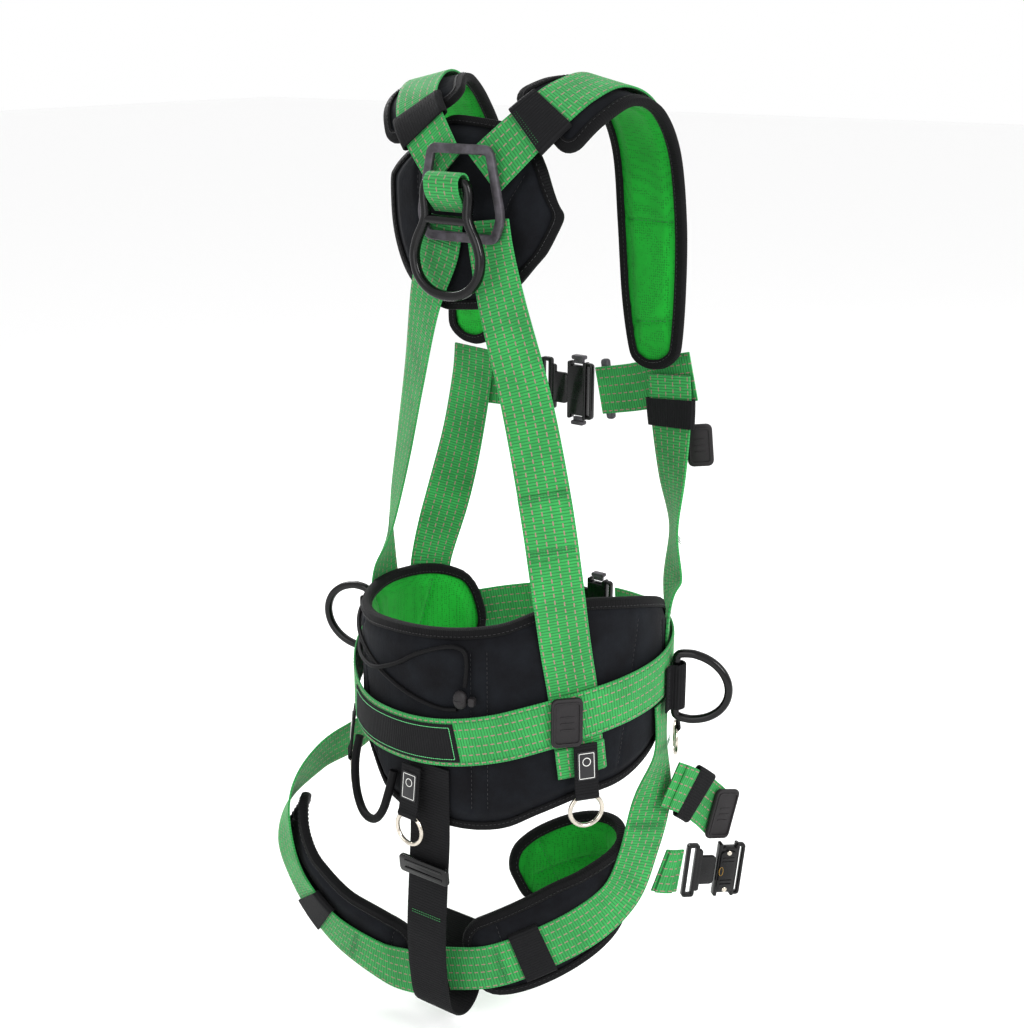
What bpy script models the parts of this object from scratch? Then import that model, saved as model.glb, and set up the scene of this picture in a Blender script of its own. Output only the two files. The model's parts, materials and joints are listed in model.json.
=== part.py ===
"""A full-body tree climbing harness, modelled hanging by the top bar of its dorsal plate.

The wearer faces -Y, the wearer's left is +X and +Z is up. The origin is the middle of the
dorsal plate's top bar, where the harness is hung. Units are metres.
"""

import math

import bmesh
import bpy
from mathutils import Matrix, Vector

# Webbing, padding and gaps
WEB = 0.045                 # width of the load webbing
WEB_THICK = 0.002
PAD_THICK = 0.010
SHOULDER_THICK = 0.009
FIT_GAP = 0.0004            # clearance left between pieces that touch

# Waist: an ellipse seen from above, angle 0 at the back and +90 at the wearer's right
WAIST_X = -0.004
WAIST_Y = -0.065
WAIST_A = 0.145
WAIST_B = 0.125
BELT_OUT = 0.0126           # belt centre outside the pad's middle surface
UNDER_OUT = 0.0084          # straps that pass between the belt and the pad

# Rings
SIDE_STOCK = 0.0075
TOOL_RING_R = 0.0150        # to the middle of the wire
TOOL_WIRE_R = 0.0020
DORSAL_STOCK = 0.0080

COLOURS = {
    "webbing": ((0.10, 0.42, 0.15), 0.80, 0.0),
    "black_web": ((0.012, 0.012, 0.014), 0.85, 0.0),
    "pad": ((0.014, 0.014, 0.016), 0.90, 0.0),
    "black_metal": ((0.010, 0.010, 0.011), 0.25, 1.0),
    "grey_metal": ((0.16, 0.155, 0.165), 0.40, 1.0),
    "steel": ((0.62, 0.58, 0.54), 0.22, 1.0),
    "rubber": ((0.020, 0.019, 0.020), 0.65, 0.0),
    "cord": ((0.010, 0.010, 0.011), 0.60, 0.0),
}

RISE = Vector((0, 0, 1))


def clear_scene():
    for old in list(bpy.data.objects):
        bpy.data.objects.remove(old, do_unlink=True)


def material(slot):
    made = bpy.data.materials.get(slot)
    if made:
        return made
    colour, roughness, metallic = COLOURS[slot]
    made = bpy.data.materials.new(slot)
    made.use_nodes = True
    shader = made.node_tree.nodes["Principled BSDF"]
    shader.inputs["Base Color"].default_value = (*colour, 1)
    shader.inputs["Roughness"].default_value = roughness
    shader.inputs["Metallic"].default_value = metallic
    return made


def add_object(name, bm, slot, place=None):
    """Make an object from a bmesh; place is its world matrix."""
    mesh = bpy.data.meshes.new(name)
    bm.to_mesh(mesh)
    bm.free()
    mesh.materials.append(material(slot))
    mesh.shade_smooth()
    mesh.set_sharp_from_angle(angle=math.radians(35))
    made = bpy.data.objects.new(name, mesh)
    bpy.context.scene.collection.objects.link(made)
    if place is not None:
        made.matrix_world = place
    return made


def axes_at(origin, along, normal):
    """A frame whose X runs along, whose Z is the outward normal, and whose origin is given."""
    x = Vector(along).normalized()
    z = Vector(normal)
    z = (z - x * z.dot(x)).normalized()
    frame = Matrix((x, z.cross(x), z)).transposed().to_4x4()
    frame.translation = Vector(origin)
    return frame


def waist_point(angle, z, out=0.0):
    """A point of the waist ellipse pushed outwards, with its outward normal."""
    turn = math.radians(angle)
    normal = Vector((-math.sin(turn) / WAIST_A, math.cos(turn) / WAIST_B, 0)).normalized()
    base = Vector((WAIST_X - WAIST_A * math.sin(turn), WAIST_Y + WAIST_B * math.cos(turn), z))
    return base + normal * out, normal


def catmull(a, b, c, d, t):
    return 0.5 * (2 * b + (c - a) * t + (2 * a - 5 * b + 4 * c - d) * t * t
                  + (3 * b - a - 3 * c + d) * t * t * t)


def smooth_rows(rows, steps):
    """Rows of equal-length tuples, read off a smooth curve through them."""
    rows = [list(row) for row in rows]
    rows = [rows[0]] + rows + [rows[-1]]
    out = []
    for index in range(1, len(rows) - 2):
        for step in range(steps):
            quad = rows[index - 1:index + 3]
            out.append([catmull(*values, step / steps) for values in zip(*quad)])
    out.append(rows[-2])
    return out


def solidify(made, thickness):
    shell = made.modifiers.new("thickness", "SOLIDIFY")
    shell.thickness = thickness
    shell.offset = 0
    shell.use_even_offset = False


def band(name, rows, thickness, slot, steps=3, across=1):
    """A flat strap or pad: rows of x, y, z, outward normal x, y, z, width and bow."""
    rows = smooth_rows(rows, steps)
    bm = bmesh.new()
    bmesh.ops.create_grid(bm, x_segments=len(rows) - 1, y_segments=across, size=1)
    centres = [Vector(row[:3]) for row in rows]
    for vert in bm.verts:
        index = round((vert.co.x + 1) / 2 * (len(rows) - 1))
        before = centres[max(index - 1, 0)]
        after = centres[min(index + 1, len(rows) - 1)]
        along = (after - before).normalized()
        normal = Vector(rows[index][3:6])
        side = along.cross(normal).normalized()
        width, bow = rows[index][6:8]
        level = side.cross(along)
        offset = side * (vert.co.y * width / 2) - level * (bow * vert.co.y ** 2)
        vert.co = centres[index] + offset
    made = add_object(name, bm, slot)
    solidify(made, thickness)
    return made


def strap(name, points, slot="webbing", width=WEB, steps=3, across=1):
    """Webbing through points of x, y, z, outward normal x, y, z and, where it bends, bow."""
    rows = [(*point[:6], width, point[6] if len(point) > 6 else 0) for point in points]
    return band(name, rows, WEB_THICK, slot, steps, across)


def around(heights, out):
    """Rows of a belt that follows the waist, from angle and height pairs."""
    return [(*place, *normal) for place, normal in
            (waist_point(angle, z, out) for angle, z in smooth_rows(heights, 3))]


def down(heights, out):
    """Rows of a strap that runs down the waist and bends across to follow it."""
    rows = []
    for angle, z in heights:
        turn = math.radians(angle)
        round_there = math.hypot(WAIST_A * math.cos(turn), WAIST_B * math.sin(turn)) ** 3
        radius = round_there / (WAIST_A * WAIST_B)
        place, normal = waist_point(angle, z, out)
        rows.append((*place, *normal, (WEB / 2) ** 2 / (2 * radius)))
    return rows


def plain(rows):
    """Free rows with no bow, so that they can join rows that have one."""
    return [(*row, 0) for row in rows]


def on_waist(points, steps):
    """A smooth route over the waist, from rows of angle, height and distance out."""
    return [tuple(waist_point(*row)[0]) for row in smooth_rows(points, steps)]


def outline_face(bm, points):
    return bm.faces.new([bm.verts.new((x, y, 0)) for x, y in points])


def slab(points, thickness):
    """A flat plate of the given outline, centred on z = 0."""
    bm = bmesh.new()
    face = outline_face(bm, points)
    grown = bmesh.ops.extrude_face_region(bm, geom=[face])["geom"]
    lifted = [item for item in grown if isinstance(item, bmesh.types.BMVert)]
    bmesh.ops.translate(bm, verts=lifted, vec=(0, 0, thickness))
    bmesh.ops.translate(bm, verts=bm.verts, vec=(0, 0, -thickness / 2))
    bmesh.ops.recalc_face_normals(bm, faces=bm.faces)
    return bm


def rounded(width, height, radius, segments=3):
    """A rectangle with round corners, centred on the origin."""
    points = []
    for corner, (sx, sy) in enumerate(((1, 1), (-1, 1), (-1, -1), (1, -1))):
        for step in range(segments + 1):
            turn = math.radians(90 * (corner + step / segments))
            x = sx * (width / 2 - radius) + radius * math.cos(turn)
            y = sy * (height / 2 - radius) + radius * math.sin(turn)
            points.append((x, y))
    return points


def plate(name, outline, holes, thickness, slot, place, bevel=0.0):
    """A flat plate with holes; each hole is an outline."""
    made = add_object(name, slab(outline, thickness), slot, place)
    for number, hole in enumerate(holes):
        cutter = add_object(f"{name}_cut_{number}", slab(hole, thickness * 3), slot, place)
        cutter.hide_render = True
        cutter.display_type = "WIRE"
        cut = made.modifiers.new(f"hole_{number}", "BOOLEAN")
        cut.operation = "DIFFERENCE"
        cut.solver = "EXACT"
        cut.object = cutter
    if bevel:
        edge = made.modifiers.new("edge", "BEVEL")
        edge.width = bevel
        edge.segments = 1
        edge.limit_method = "ANGLE"
        edge.angle_limit = math.radians(50)
    return made


def wire_ring(name, radius, wire, slot, place, around_ring=20, around_wire=8):
    """A round wire ring that hangs below its origin, in its frame's XY plane."""
    bm = bmesh.new()
    bmesh.ops.create_circle(bm, segments=around_wire, radius=wire)
    turn = Matrix.Rotation(math.radians(90), 4, "X") @ Matrix.Rotation(math.radians(22.5), 4, "Z")
    bmesh.ops.transform(bm, matrix=turn, verts=bm.verts)
    bmesh.ops.translate(bm, verts=bm.verts, vec=(radius, 0, 0))
    bmesh.ops.spin(bm, geom=bm.verts[:] + bm.edges[:], axis=(0, 0, 1), cent=(0, 0, 0),
                   angle=math.tau, steps=around_ring, use_merge=True)
    bmesh.ops.translate(bm, verts=bm.verts, vec=(0, -radius, 0))
    bmesh.ops.recalc_face_normals(bm, faces=bm.faces)
    return add_object(name, bm, slot, place)


def tube(name, points, radius, slot, steps=6, sides=2):
    """A cord through points, as a curve with a round section and closed ends."""
    points = smooth_rows(points, steps)
    curve = bpy.data.curves.new(name, "CURVE")
    curve.dimensions = "3D"
    curve.bevel_depth = radius
    curve.bevel_resolution = sides
    curve.use_fill_caps = True
    spline = curve.splines.new("POLY")
    spline.points.add(len(points) - 1)
    for knot, point in zip(spline.points, points):
        knot.co = (*point, 1)
    curve.materials.append(material(slot))
    made = bpy.data.objects.new(name, curve)
    bpy.context.scene.collection.objects.link(made)
    return made


def block(name, size, radius, slot, place):
    return plate(name, rounded(size[0], size[1], radius), [], size[2], slot, place)


# Yoke and shoulders: centre, outward normal and width, from the back over the shoulder
SHIELD = (
    (0.003, -0.036, 0.020, 0, 1, 0.55, 0.086, 0.004),
    (0.006, -0.0235, -0.007, 0, 1, 0.25, 0.140, 0.012),
    (0.010, -0.0125, -0.034, 0, 1, 0, 0.178, 0.021),
    (0.013, -0.0125, -0.060, 0, 1, 0, 0.176, 0.020),
    (0.013, -0.0125, -0.090, 0, 1, 0, 0.154, 0.015),
    (0.011, -0.0125, -0.116, 0, 1, 0, 0.112, 0.008),
    (0.009, -0.0125, -0.136, 0, 1, 0, 0.056, 0.002),
)
SHOULDER = (
    (-0.0612, -0.0270, 0.0195, -0.25, 0.78, 0.62, 0.082),
    (-0.0800, -0.0500, 0.040, -0.25, 0.40, 0.90, 0.078),
    (-0.0900, -0.0790, 0.047, -0.22, -0.05, 1.00, 0.072),
    (-0.0950, -0.1120, 0.032, -0.15, -0.70, 0.75, 0.068),
    (-0.0960, -0.1390, -0.006, -0.10, -1.00, 0.28, 0.067),
    (-0.0960, -0.1520, -0.070, -0.05, -1.00, 0.05, 0.067),
    (-0.0990, -0.1530, -0.135, -0.05, -1.00, 0.00, 0.062),
    (-0.1040, -0.1500, -0.182, -0.05, -1.00, 0.00, 0.050),
    (-0.1060, -0.1480, -0.198, -0.05, -1.00, 0.00, 0.034),
)
OVER_PAD = 0.0075           # shoulder strap centre above the pad's middle surface
PLATE_STRAP_START = (-0.0195, -0.0030, -0.0200, -0.05, 1.0, 0.05)

# Straps from the dorsal plate down the back, and from the chest down the front
BACK_STRAP_RIGHT = (
    (-0.0240, -0.0030, -0.058, 0.00, 1.00, 0.00),
    (-0.0290, -0.0030, -0.088, -0.05, 1.00, 0.00),
    (-0.0450, 0.0030, -0.132, -0.20, 1.00, 0.00),
    (-0.0760, 0.0125, -0.205, -0.40, 0.95, 0.00),
    (-0.1020, 0.0215, -0.285, -0.55, 0.85, 0.00),
    (-0.1180, 0.0270, -0.350, -0.65, 0.75, 0.00),
)
BACK_STRAP_LEFT = (
    (0.0240, -0.0030, -0.058, 0.00, 1.00, 0.00),
    (0.0290, -0.0030, -0.088, 0.05, 1.00, 0.00),
    (0.0440, -0.0020, -0.132, 0.30, 0.95, 0.00),
    (0.0710, -0.0180, -0.205, 0.50, 0.87, 0.00),
    (0.0990, -0.0340, -0.280, 0.60, 0.80, 0.00),
    (0.1280, -0.0490, -0.355, 0.75, 0.66, 0.00),
    (0.1450, -0.0580, -0.400, 0.95, 0.30, 0.00),
)
FRONT_STRAP_LEFT = (
    (0.1120, -0.1610, -0.207, 0.05, -1.00, 0.00),
    (0.1150, -0.1610, -0.240, 0.10, -1.00, 0.00),
    (0.1240, -0.1560, -0.300, 0.20, -1.00, 0.00),
    (0.1340, -0.1450, -0.360, 0.50, -0.80, 0.00),
)
FRONT_STRAP_RIGHT = (
    (-0.1120, -0.1610, -0.207, -0.05, -1.00, 0.00),
    (-0.1150, -0.1610, -0.240, -0.10, -1.00, 0.00),
    (-0.1200, -0.1580, -0.300, -0.45, -0.85, 0.00),
    (-0.1260, -0.1540, -0.350, -0.75, -0.60, 0.00),
    (-0.1300, -0.1480, -0.400, -0.60, -0.75, 0.00),
)
CHEST_Z = -0.237
CHEST_Y = -0.171
CHEST_BAND_LEFT = (
    (0.0380, CHEST_Y, -0.238, 0, -1, 0),
    (0.0650, -0.1700, -0.240, 0, -1, 0),
    (0.1050, -0.1665, -0.241, 0.05, -1, 0),
    (0.1350, -0.1655, -0.240, 0.08, -1, 0),
)
CHEST_BAND_RIGHT = (
    (-0.0302, CHEST_Y, -0.2345, 0, -1, 0),
    (-0.0720, -0.1700, -0.225, 0, -1, 0),
    (-0.1050, -0.1665, -0.214, -0.05, -1, 0),
    (-0.1350, -0.1655, -0.206, -0.08, -1, 0),
)

# Waist pad and belt: angle, top and bottom of the pad; angle and height of the belt
PAD_EDGES = (
    (-136, -0.468, -0.512), (-132, -0.450, -0.528), (-124, -0.436, -0.536),
    (-110, -0.427, -0.542), (-88, -0.424, -0.545), (-66, -0.425, -0.548),
    (-40, -0.423, -0.556), (-20, -0.416, -0.588), (8, -0.407, -0.594),
    (28, -0.397, -0.588), (42, -0.383, -0.572), (58, -0.375, -0.558),
    (76, -0.380, -0.552), (94, -0.390, -0.540), (110, -0.404, -0.528),
    (122, -0.424, -0.516), (128, -0.446, -0.500),
)
BELT_HEIGHTS = (
    (-165, -0.472), (-148, -0.480), (-128, -0.487), (-108, -0.484), (-84, -0.484),
    (-60, -0.500), (-36, -0.516), (-12, -0.515), (8, -0.509), (26, -0.498),
    (42, -0.485), (58, -0.475), (78, -0.468), (98, -0.464), (120, -0.460),
    (142, -0.458), (155, -0.461), (168, -0.464),
)
SIDE_RINGS = {"right": (105, -0.4800), "left": (-83, -0.4700)}     # angle and height
TAB_ANGLE = 51
RING_OUT = BELT_OUT + 0.0055
RING_DROP = 0.075           # from the belt's middle down to a tool ring's hinge
TOOL_ANGLES = {"right": 119, "back_right": 58, "back": -4, "back_left": -52, "left": -116}

# Leg loops
RISER = (
    (-0.0080, 0.0667, -0.5370, 0, 1, 0.00),
    (-0.0080, 0.0667, -0.5750, 0, 1, 0.00),
    (-0.0080, 0.0672, -0.6120, 0, 1, -0.05),
    (-0.0085, 0.0720, -0.6600, 0, 1, -0.05),
    (-0.0090, 0.0760, -0.7090, 0, 1, 0.00),
    (-0.0100, 0.0750, -0.7520, 0, 1, -0.10),
    (-0.0100, 0.0680, -0.7860, 0, 0.70, -0.70),
    (-0.0100, 0.0470, -0.7990, 0, 0.00, -1.00),
    (-0.0100, 0.0280, -0.7870, 0, -0.80, -0.60),
    (-0.0090, 0.0200, -0.7520, 0, -1.00, 0.00),
    (-0.0085, 0.0240, -0.7120, 0, -1.00, 0.00),
)
LEG_STRAP_RIGHT = (
    (-0.1490, -0.0880, -0.6000, -1.00, 0.45, 0.00),
    (-0.1440, -0.0760, -0.6476, -0.95, 0.50, -0.15),
    (-0.1380, -0.0560, -0.6844, -0.85, 0.60, -0.10),
    (-0.1188, -0.0252, -0.7102, -0.72, 0.72, 0.00),
    (-0.0850, 0.0110, -0.7322, -0.62, 0.78, 0.00),
    (-0.0520, 0.0370, -0.7470, -0.50, 0.86, 0.00),
    (-0.0120, 0.0520, -0.7562, -0.15, 1.00, 0.00),
)
LEG_PAD_RIGHT = (
    (-0.0300, 0.0380, -0.7451, -0.50, 0.86, 0, 0.070, 0),
    (-0.0560, 0.0255, -0.7378, -0.55, 0.83, 0, 0.082, 0),
    (-0.0830, 0.0020, -0.7240, -0.65, 0.78, 0, 0.086, 0),
    (-0.1080, -0.0250, -0.7046, -0.75, 0.68, 0, 0.084, 0),
    (-0.1240, -0.0500, -0.6862, -0.95, 0.30, 0, 0.078, 0),
    (-0.1240, -0.0780, -0.6734, -0.90, -0.45, 0, 0.076, 0),
    (-0.1020, -0.0970, -0.6734, -0.30, -0.95, 0, 0.080, 0),
    (-0.0720, -0.0950, -0.6826, 0.25, -1.00, 0, 0.084, 0),
    (-0.0400, -0.0780, -0.6982, 0.55, -0.85, 0, 0.080, 0),
    (-0.0180, -0.0560, -0.7120, 0.65, -0.75, 0, 0.060, 0),
)
LEG_STRAP_LEFT = (
    (0.1532, -0.0720, -0.5600, 1.00, 0.10, 0.20),
    (0.1570, -0.0320, -0.5860, 0.98, 0.05, 0.25),
    (0.1680, 0.0180, -0.5980, 0.97, 0.05, 0.35),
    (0.1740, 0.0580, -0.6255, 0.80, 0.55, 0.20),
    (0.1680, 0.0760, -0.6678, 0.45, 0.90, 0.00),
    (0.1500, 0.0740, -0.7138, 0.35, 0.94, -0.10),
    (0.1120, 0.0700, -0.7506, 0.28, 0.95, -0.10),
    (0.0600, 0.0620, -0.7709, 0.17, 1.00, -0.05),
    (0.0240, 0.0600, -0.7690, 0.05, 1.00, 0.00),
    (-0.0050, 0.0610, -0.7598, 0.00, 1.00, 0.00),
)
LEG_PAD_LEFT = (
    (0.1635, 0.0490, -0.6283, 0.80, 0.57, 0.10, 0.050, 0),
    (0.1600, 0.0665, -0.6605, 0.50, 0.86, 0.00, 0.066, 0),
    (0.1437, 0.0662, -0.6973, 0.38, 0.92, -0.10, 0.074, 0),
    (0.1084, 0.0612, -0.7341, 0.28, 0.95, -0.10, 0.078, 0),
    (0.0652, 0.0535, -0.7562, 0.17, 1.00, -0.05, 0.074, 0),
    (0.0280, 0.0480, -0.7635, 0.05, 1.00, 0.00, 0.056, 0),
)
LEG_TOP_OUT = 0.0096
LEG_LOOP_TOP = {"right": (104, -0.4935, -0.545), "left": (-104, -0.5160, -0.538)}
LEG_BRANCH = (
    (-0.1640, -0.0960, -0.5780, -0.94, 0.33, 0.00),
    (-0.1720, -0.1180, -0.5920, -0.94, 0.33, 0.00),
    (-0.1800, -0.1440, -0.6150, -0.94, 0.33, 0.00),
    (-0.1860, -0.1640, -0.6380, -0.94, 0.33, 0.00),
)
LEG_FRONT = (
    (-0.1550, -0.0965, -0.6720, -0.72, 0.68, 0.00),
    (-0.1610, -0.1060, -0.6755, -0.76, 0.64, 0.00),
    (-0.1672, -0.1161, -0.6775, -0.78, 0.62, 0.00),
)

# Buckles: height across the webbing, and the lengths of their two halves
BUCKLE_HIGH = 0.056
SLOT_HIGH = 0.048
TONGUE_LONG = 0.032
HOUSING_LONG = 0.028
HOUSING_THICK = 0.011
LATCH_HIGH = 0.004
LATCH_TRAVEL = 0.0016

# Dorsal ring, seen flat with its hinge bar's middle as origin
DORSAL_HINGE = (0.003, 0.0175, -0.0270)
DORSAL_OUTER = (
    (0.0270, 0.0040), (-0.0270, 0.0040), (-0.0275, -0.0120), (-0.0265, -0.0310),
    (-0.0360, -0.0480), (-0.0392, -0.0640), (-0.0345, -0.0820), (-0.0210, -0.0950),
    (0.0, -0.0990), (0.0210, -0.0950), (0.0345, -0.0820), (0.0392, -0.0640),
    (0.0360, -0.0480), (0.0265, -0.0310), (0.0275, -0.0120),
)
DORSAL_SLOT = ((0.0195, -0.0040), (-0.0195, -0.0040), (-0.0195, -0.0270), (0.0195, -0.0270))
DORSAL_EYE = (
    (0.0185, -0.0350), (-0.0185, -0.0350), (-0.0280, -0.0500), (-0.0310, -0.0640),
    (-0.0270, -0.0780), (-0.0150, -0.0880), (-0.0060, -0.0905), (0.0060, -0.0905),
    (0.0150, -0.0880), (0.0270, -0.0780), (0.0310, -0.0640), (0.0280, -0.0500),
)
PLATE_OUTER = (
    (0.0340, 0.0040), (-0.0340, 0.0040), (-0.0470, -0.0550), (-0.0400, -0.0780),
    (0.0400, -0.0780), (0.0470, -0.0550),
)
PLATE_WINDOW = (
    (0.0270, -0.0050), (-0.0270, -0.0050), (-0.0370, -0.0550), (-0.0320, -0.0690),
    (0.0320, -0.0690), (0.0370, -0.0550),
)
SIDE_HALF_HIGH = 0.036
SIDE_REACH = 0.052

# Elastic lacing on the left of the pad: angle, height and distance out of each point
ON_PAD = 0.0078
LACING_LOWER = (
    (-76, -0.4380, ON_PAD), (-62, -0.4410, ON_PAD), (-44, -0.4500, ON_PAD), (-23, -0.4635, ON_PAD),
    (-8, -0.4730, ON_PAD), (2, -0.4775, ON_PAD), (8, -0.4785, ON_PAD), (13.6, -0.4755, 0.0095),
)
LACING_UPPER = (
    (-76, -0.4620, ON_PAD), (-62, -0.4690, ON_PAD), (-46, -0.4690, ON_PAD), (-34, -0.4660, 0.0095),
    (-23, -0.4605, 0.0124), (-12, -0.4480, 0.0100), (-3, -0.4330, ON_PAD), (6, -0.4220, ON_PAD),
    (12, -0.4175, ON_PAD), (16, -0.4200, ON_PAD), (17, -0.4300, ON_PAD), (16.8, -0.4420, ON_PAD),
    (16.5, -0.4530, 0.0095),
)
CORD_R = 0.0020
LOCK_PLACE = (15.4, -0.4640, 0.0128)

GEAR_LOOP = (
    (-46, -0.5560, 0.0110), (-45, -0.5780, 0.0160), (-41, -0.6020, 0.0180), (-33, -0.6170, 0.0180),
    (-24, -0.6150, 0.0180), (-18, -0.6000, 0.0180), (-15, -0.5780, 0.0160), (-14, -0.5560, 0.0110),
)
GEAR_LOOP_R = 0.0040


def mirrored(rows):
    """The same rows on the wearer's other side."""
    return [(-row[0], *row[1:3], -row[3], *row[4:]) for row in rows]


def make_yoke():
    band("yoke_shield", SHIELD, SHOULDER_THICK, "pad", steps=2, across=4)
    over = [PLATE_STRAP_START]
    for row in SHOULDER[:-1]:
        normal = Vector(row[3:6]).normalized()
        over.append((*(Vector(row[:3]) + normal * OVER_PAD), *row[3:6]))
    pad = [(*row, 0.002) for row in SHOULDER]
    for side, pad_rows, strap_rows in (("right", pad, over), ("left", mirrored(pad), mirrored(over))):
        band(f"shoulder_pad_{side}", pad_rows, SHOULDER_THICK, "pad", steps=2, across=2)
        strap(f"shoulder_strap_{side}", strap_rows, steps=2)


def make_dorsal():
    facing = ((-1, 0, 0), (0, 1, 0))
    plate("dorsal_plate", PLATE_OUTER, [PLATE_WINDOW], 0.004, "grey_metal",
          axes_at((0, 0.002, 0), *facing), bevel=0.0006)
    plate("dorsal_ring", DORSAL_OUTER, [DORSAL_SLOT, DORSAL_EYE], DORSAL_STOCK, "black_metal",
          axes_at(DORSAL_HINGE, *facing), bevel=0.0018)
    hinge_x, hinge_y, hinge_z = DORSAL_HINGE
    rows = [(hinge_x, 0.0050, hinge_z - 0.023, 0, -1, 0)]
    for turn in range(180, -1, -30):
        out = Vector((0, math.cos(math.radians(turn)), math.sin(math.radians(turn))))
        centre = Vector(DORSAL_HINGE) + out * 0.0078
        rows.append((*centre, *out))
    rows.append((hinge_x, hinge_y + 0.0050, hinge_z - 0.0110, 0, 1, -0.6))
    rows.append((hinge_x, 0.0100, hinge_z - 0.0245, 0, 0.8, -0.8))
    strap("dorsal_loop", rows, width=0.036, steps=2)


def make_back_straps():
    lower = down([(51, -0.410), (54, -0.455), (56, -0.495), (58, -0.5350)], UNDER_OUT)
    strap("back_strap_right", plain(BACK_STRAP_RIGHT) + lower, steps=2, across=4)
    lower = down([(-87, -0.438), (-88, -0.470), (-88, -0.504)], UNDER_OUT)
    strap("back_strap_left", plain(BACK_STRAP_LEFT) + lower, steps=2, across=4)


def make_front_straps():
    lower = down([(-113, -0.425), (-114, -0.465), (-114, -0.504)], UNDER_OUT)
    strap("front_strap_left", plain(FRONT_STRAP_LEFT) + lower, steps=2, across=4)
    lower = down([(119, -0.430), (119, -0.458), (119, -0.482)], UNDER_OUT)
    strap("front_strap_right", plain(FRONT_STRAP_RIGHT) + lower, steps=2, across=4)
    strap("chest_band_left", CHEST_BAND_LEFT, steps=2)
    strap("chest_band_right", CHEST_BAND_RIGHT, steps=2)


def make_buckle(name, origin, along, normal, latches=True):
    """A quick-release buckle whose tongue lies towards -along from the origin."""
    frame = axes_at(origin, along, normal)
    tongue = [(-TONGUE_LONG, -BUCKLE_HIGH / 2), (-0.020, -BUCKLE_HIGH / 2), (-0.016, -0.016),
              (-0.001, -0.016), (-0.001, 0.016), (-0.016, 0.016), (-0.020, BUCKLE_HIGH / 2),
              (-TONGUE_LONG, BUCKLE_HIGH / 2)]
    slot = [(x - TONGUE_LONG + 0.0065, y) for x, y in rounded(0.005, SLOT_HIGH, 0.002)]
    plate(f"{name}_tongue", tongue, [slot], 0.0045, "black_metal", frame, bevel=0.0008)
    half = BUCKLE_HIGH / 2
    body = [(x + HOUSING_LONG / 2, y) for x, y in rounded(HOUSING_LONG, half * 2, 0.005)]
    slot = [(x + HOUSING_LONG - 0.0060, y) for x, y in rounded(0.005, SLOT_HIGH, 0.002)]
    plate(f"{name}_housing", body, [slot], HOUSING_THICK, "black_metal", frame, bevel=0.0010)
    if not latches:
        return
    for word, sign in (("upper", 1), ("lower", -1)):
        up = 1 if (frame.to_3x3() @ Vector((0, 1, 0))).z > 0 else -1
        away = sign * up * (half + LATCH_TRAVEL + FIT_GAP + LATCH_HIGH / 2)
        block(f"{name}_latch_{word}", (0.014, LATCH_HIGH, 0.007), 0.0018, "grey_metal",
              frame @ Matrix.Translation((HOUSING_LONG * 0.4, away, 0)))


def make_chest():
    make_buckle("chest_buckle", (0.004, CHEST_Y, CHEST_Z), (-1, 0, 0), (0, -1, 0))
    block("chest_slide_bar", (0.009, 0.058, 0.004), 0.002, "grey_metal",
          axes_at((-0.038, CHEST_Y - 0.0042, -0.2325), (-1, 0, 0.14), (0.03, -1, 0)))
    block("front_strap_tab", (0.024, 0.040, 0.004), 0.005, "rubber",
          axes_at((-0.1390, -0.1750, -0.272), (-0.9, -0.45, 0.1), (0.45, -0.9, 0)))


def make_waist():
    rows = []
    for angle, top, bottom in smooth_rows(PAD_EDGES, 2):
        point, normal = waist_point(angle, (top + bottom) / 2)
        rows.append((*point, *normal, top - bottom, 0))
    band("waist_pad", rows, PAD_THICK, "pad", steps=1, across=2)
    rows = around(BELT_HEIGHTS, BELT_OUT)
    strap("belt_strap", rows, steps=1)
    point, normal = waist_point(TAB_ANGLE, -0.4790, BELT_OUT + 0.0045)
    block("belt_tab", (0.028, 0.046, 0.0055), 0.006, "rubber",
          axes_at(point, RISE.cross(normal), normal))
    point, normal = waist_point(180, -0.4650, BELT_OUT)
    make_buckle("belt_buckle", point + Vector((0.002, 0, 0)), (-1, 0, 0), (0, -1, 0))
    point, normal = waist_point(138, -0.4585, BELT_OUT + 0.0042)
    block("belt_slide_bar", (0.009, 0.058, 0.004), 0.002, "grey_metal",
          axes_at(point, normal.cross(RISE), normal))


def d_outline(half, reach, corner):
    """A D with its straight side on x = 0, read round from the top."""
    points = [(0, half)]
    for step in range(10):
        turn = math.radians(90 - 20 * step)
        points.append((corner + (reach - corner) * math.cos(turn), half * math.sin(turn)))
    points.append((0, -half))
    return points


def make_side_ring(side, angle, height):
    point, normal = waist_point(angle, height, BELT_OUT + 0.0078)
    inner = [(x + 0.0038, y) for x, y in
             d_outline(SIDE_HALF_HIGH - SIDE_STOCK, SIDE_REACH - SIDE_STOCK - 0.0038, 0.008)]
    outer = [(x - 0.0038, y) for x, y in d_outline(SIDE_HALF_HIGH, SIDE_REACH + 0.0038, 0.014)]
    tangent = normal.cross(RISE)
    plate(f"side_ring_{side}", outer[::-1], [inner[::-1]], SIDE_STOCK, "black_metal",
          axes_at(point, normal, tangent), bevel=0.0017)
    rows = []
    for offset, lift in ((-0.018, -0.0052), (-0.010, -0.0045)):
        rows.append((*(point + tangent * offset + normal * lift), *normal))
    for turn in (200, 150, 90, 30, -20):
        way = tangent * math.cos(math.radians(turn)) + normal * math.sin(math.radians(turn))
        rows.append((*(point + way * 0.0074), *way))
    for offset, lift in ((0.010, -0.0045), (0.018, -0.0052)):
        rows.append((*(point + tangent * offset + normal * lift), *normal))
    strap(f"side_ring_loop_{side}", rows, "black_web", width=0.044, steps=1)


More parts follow.
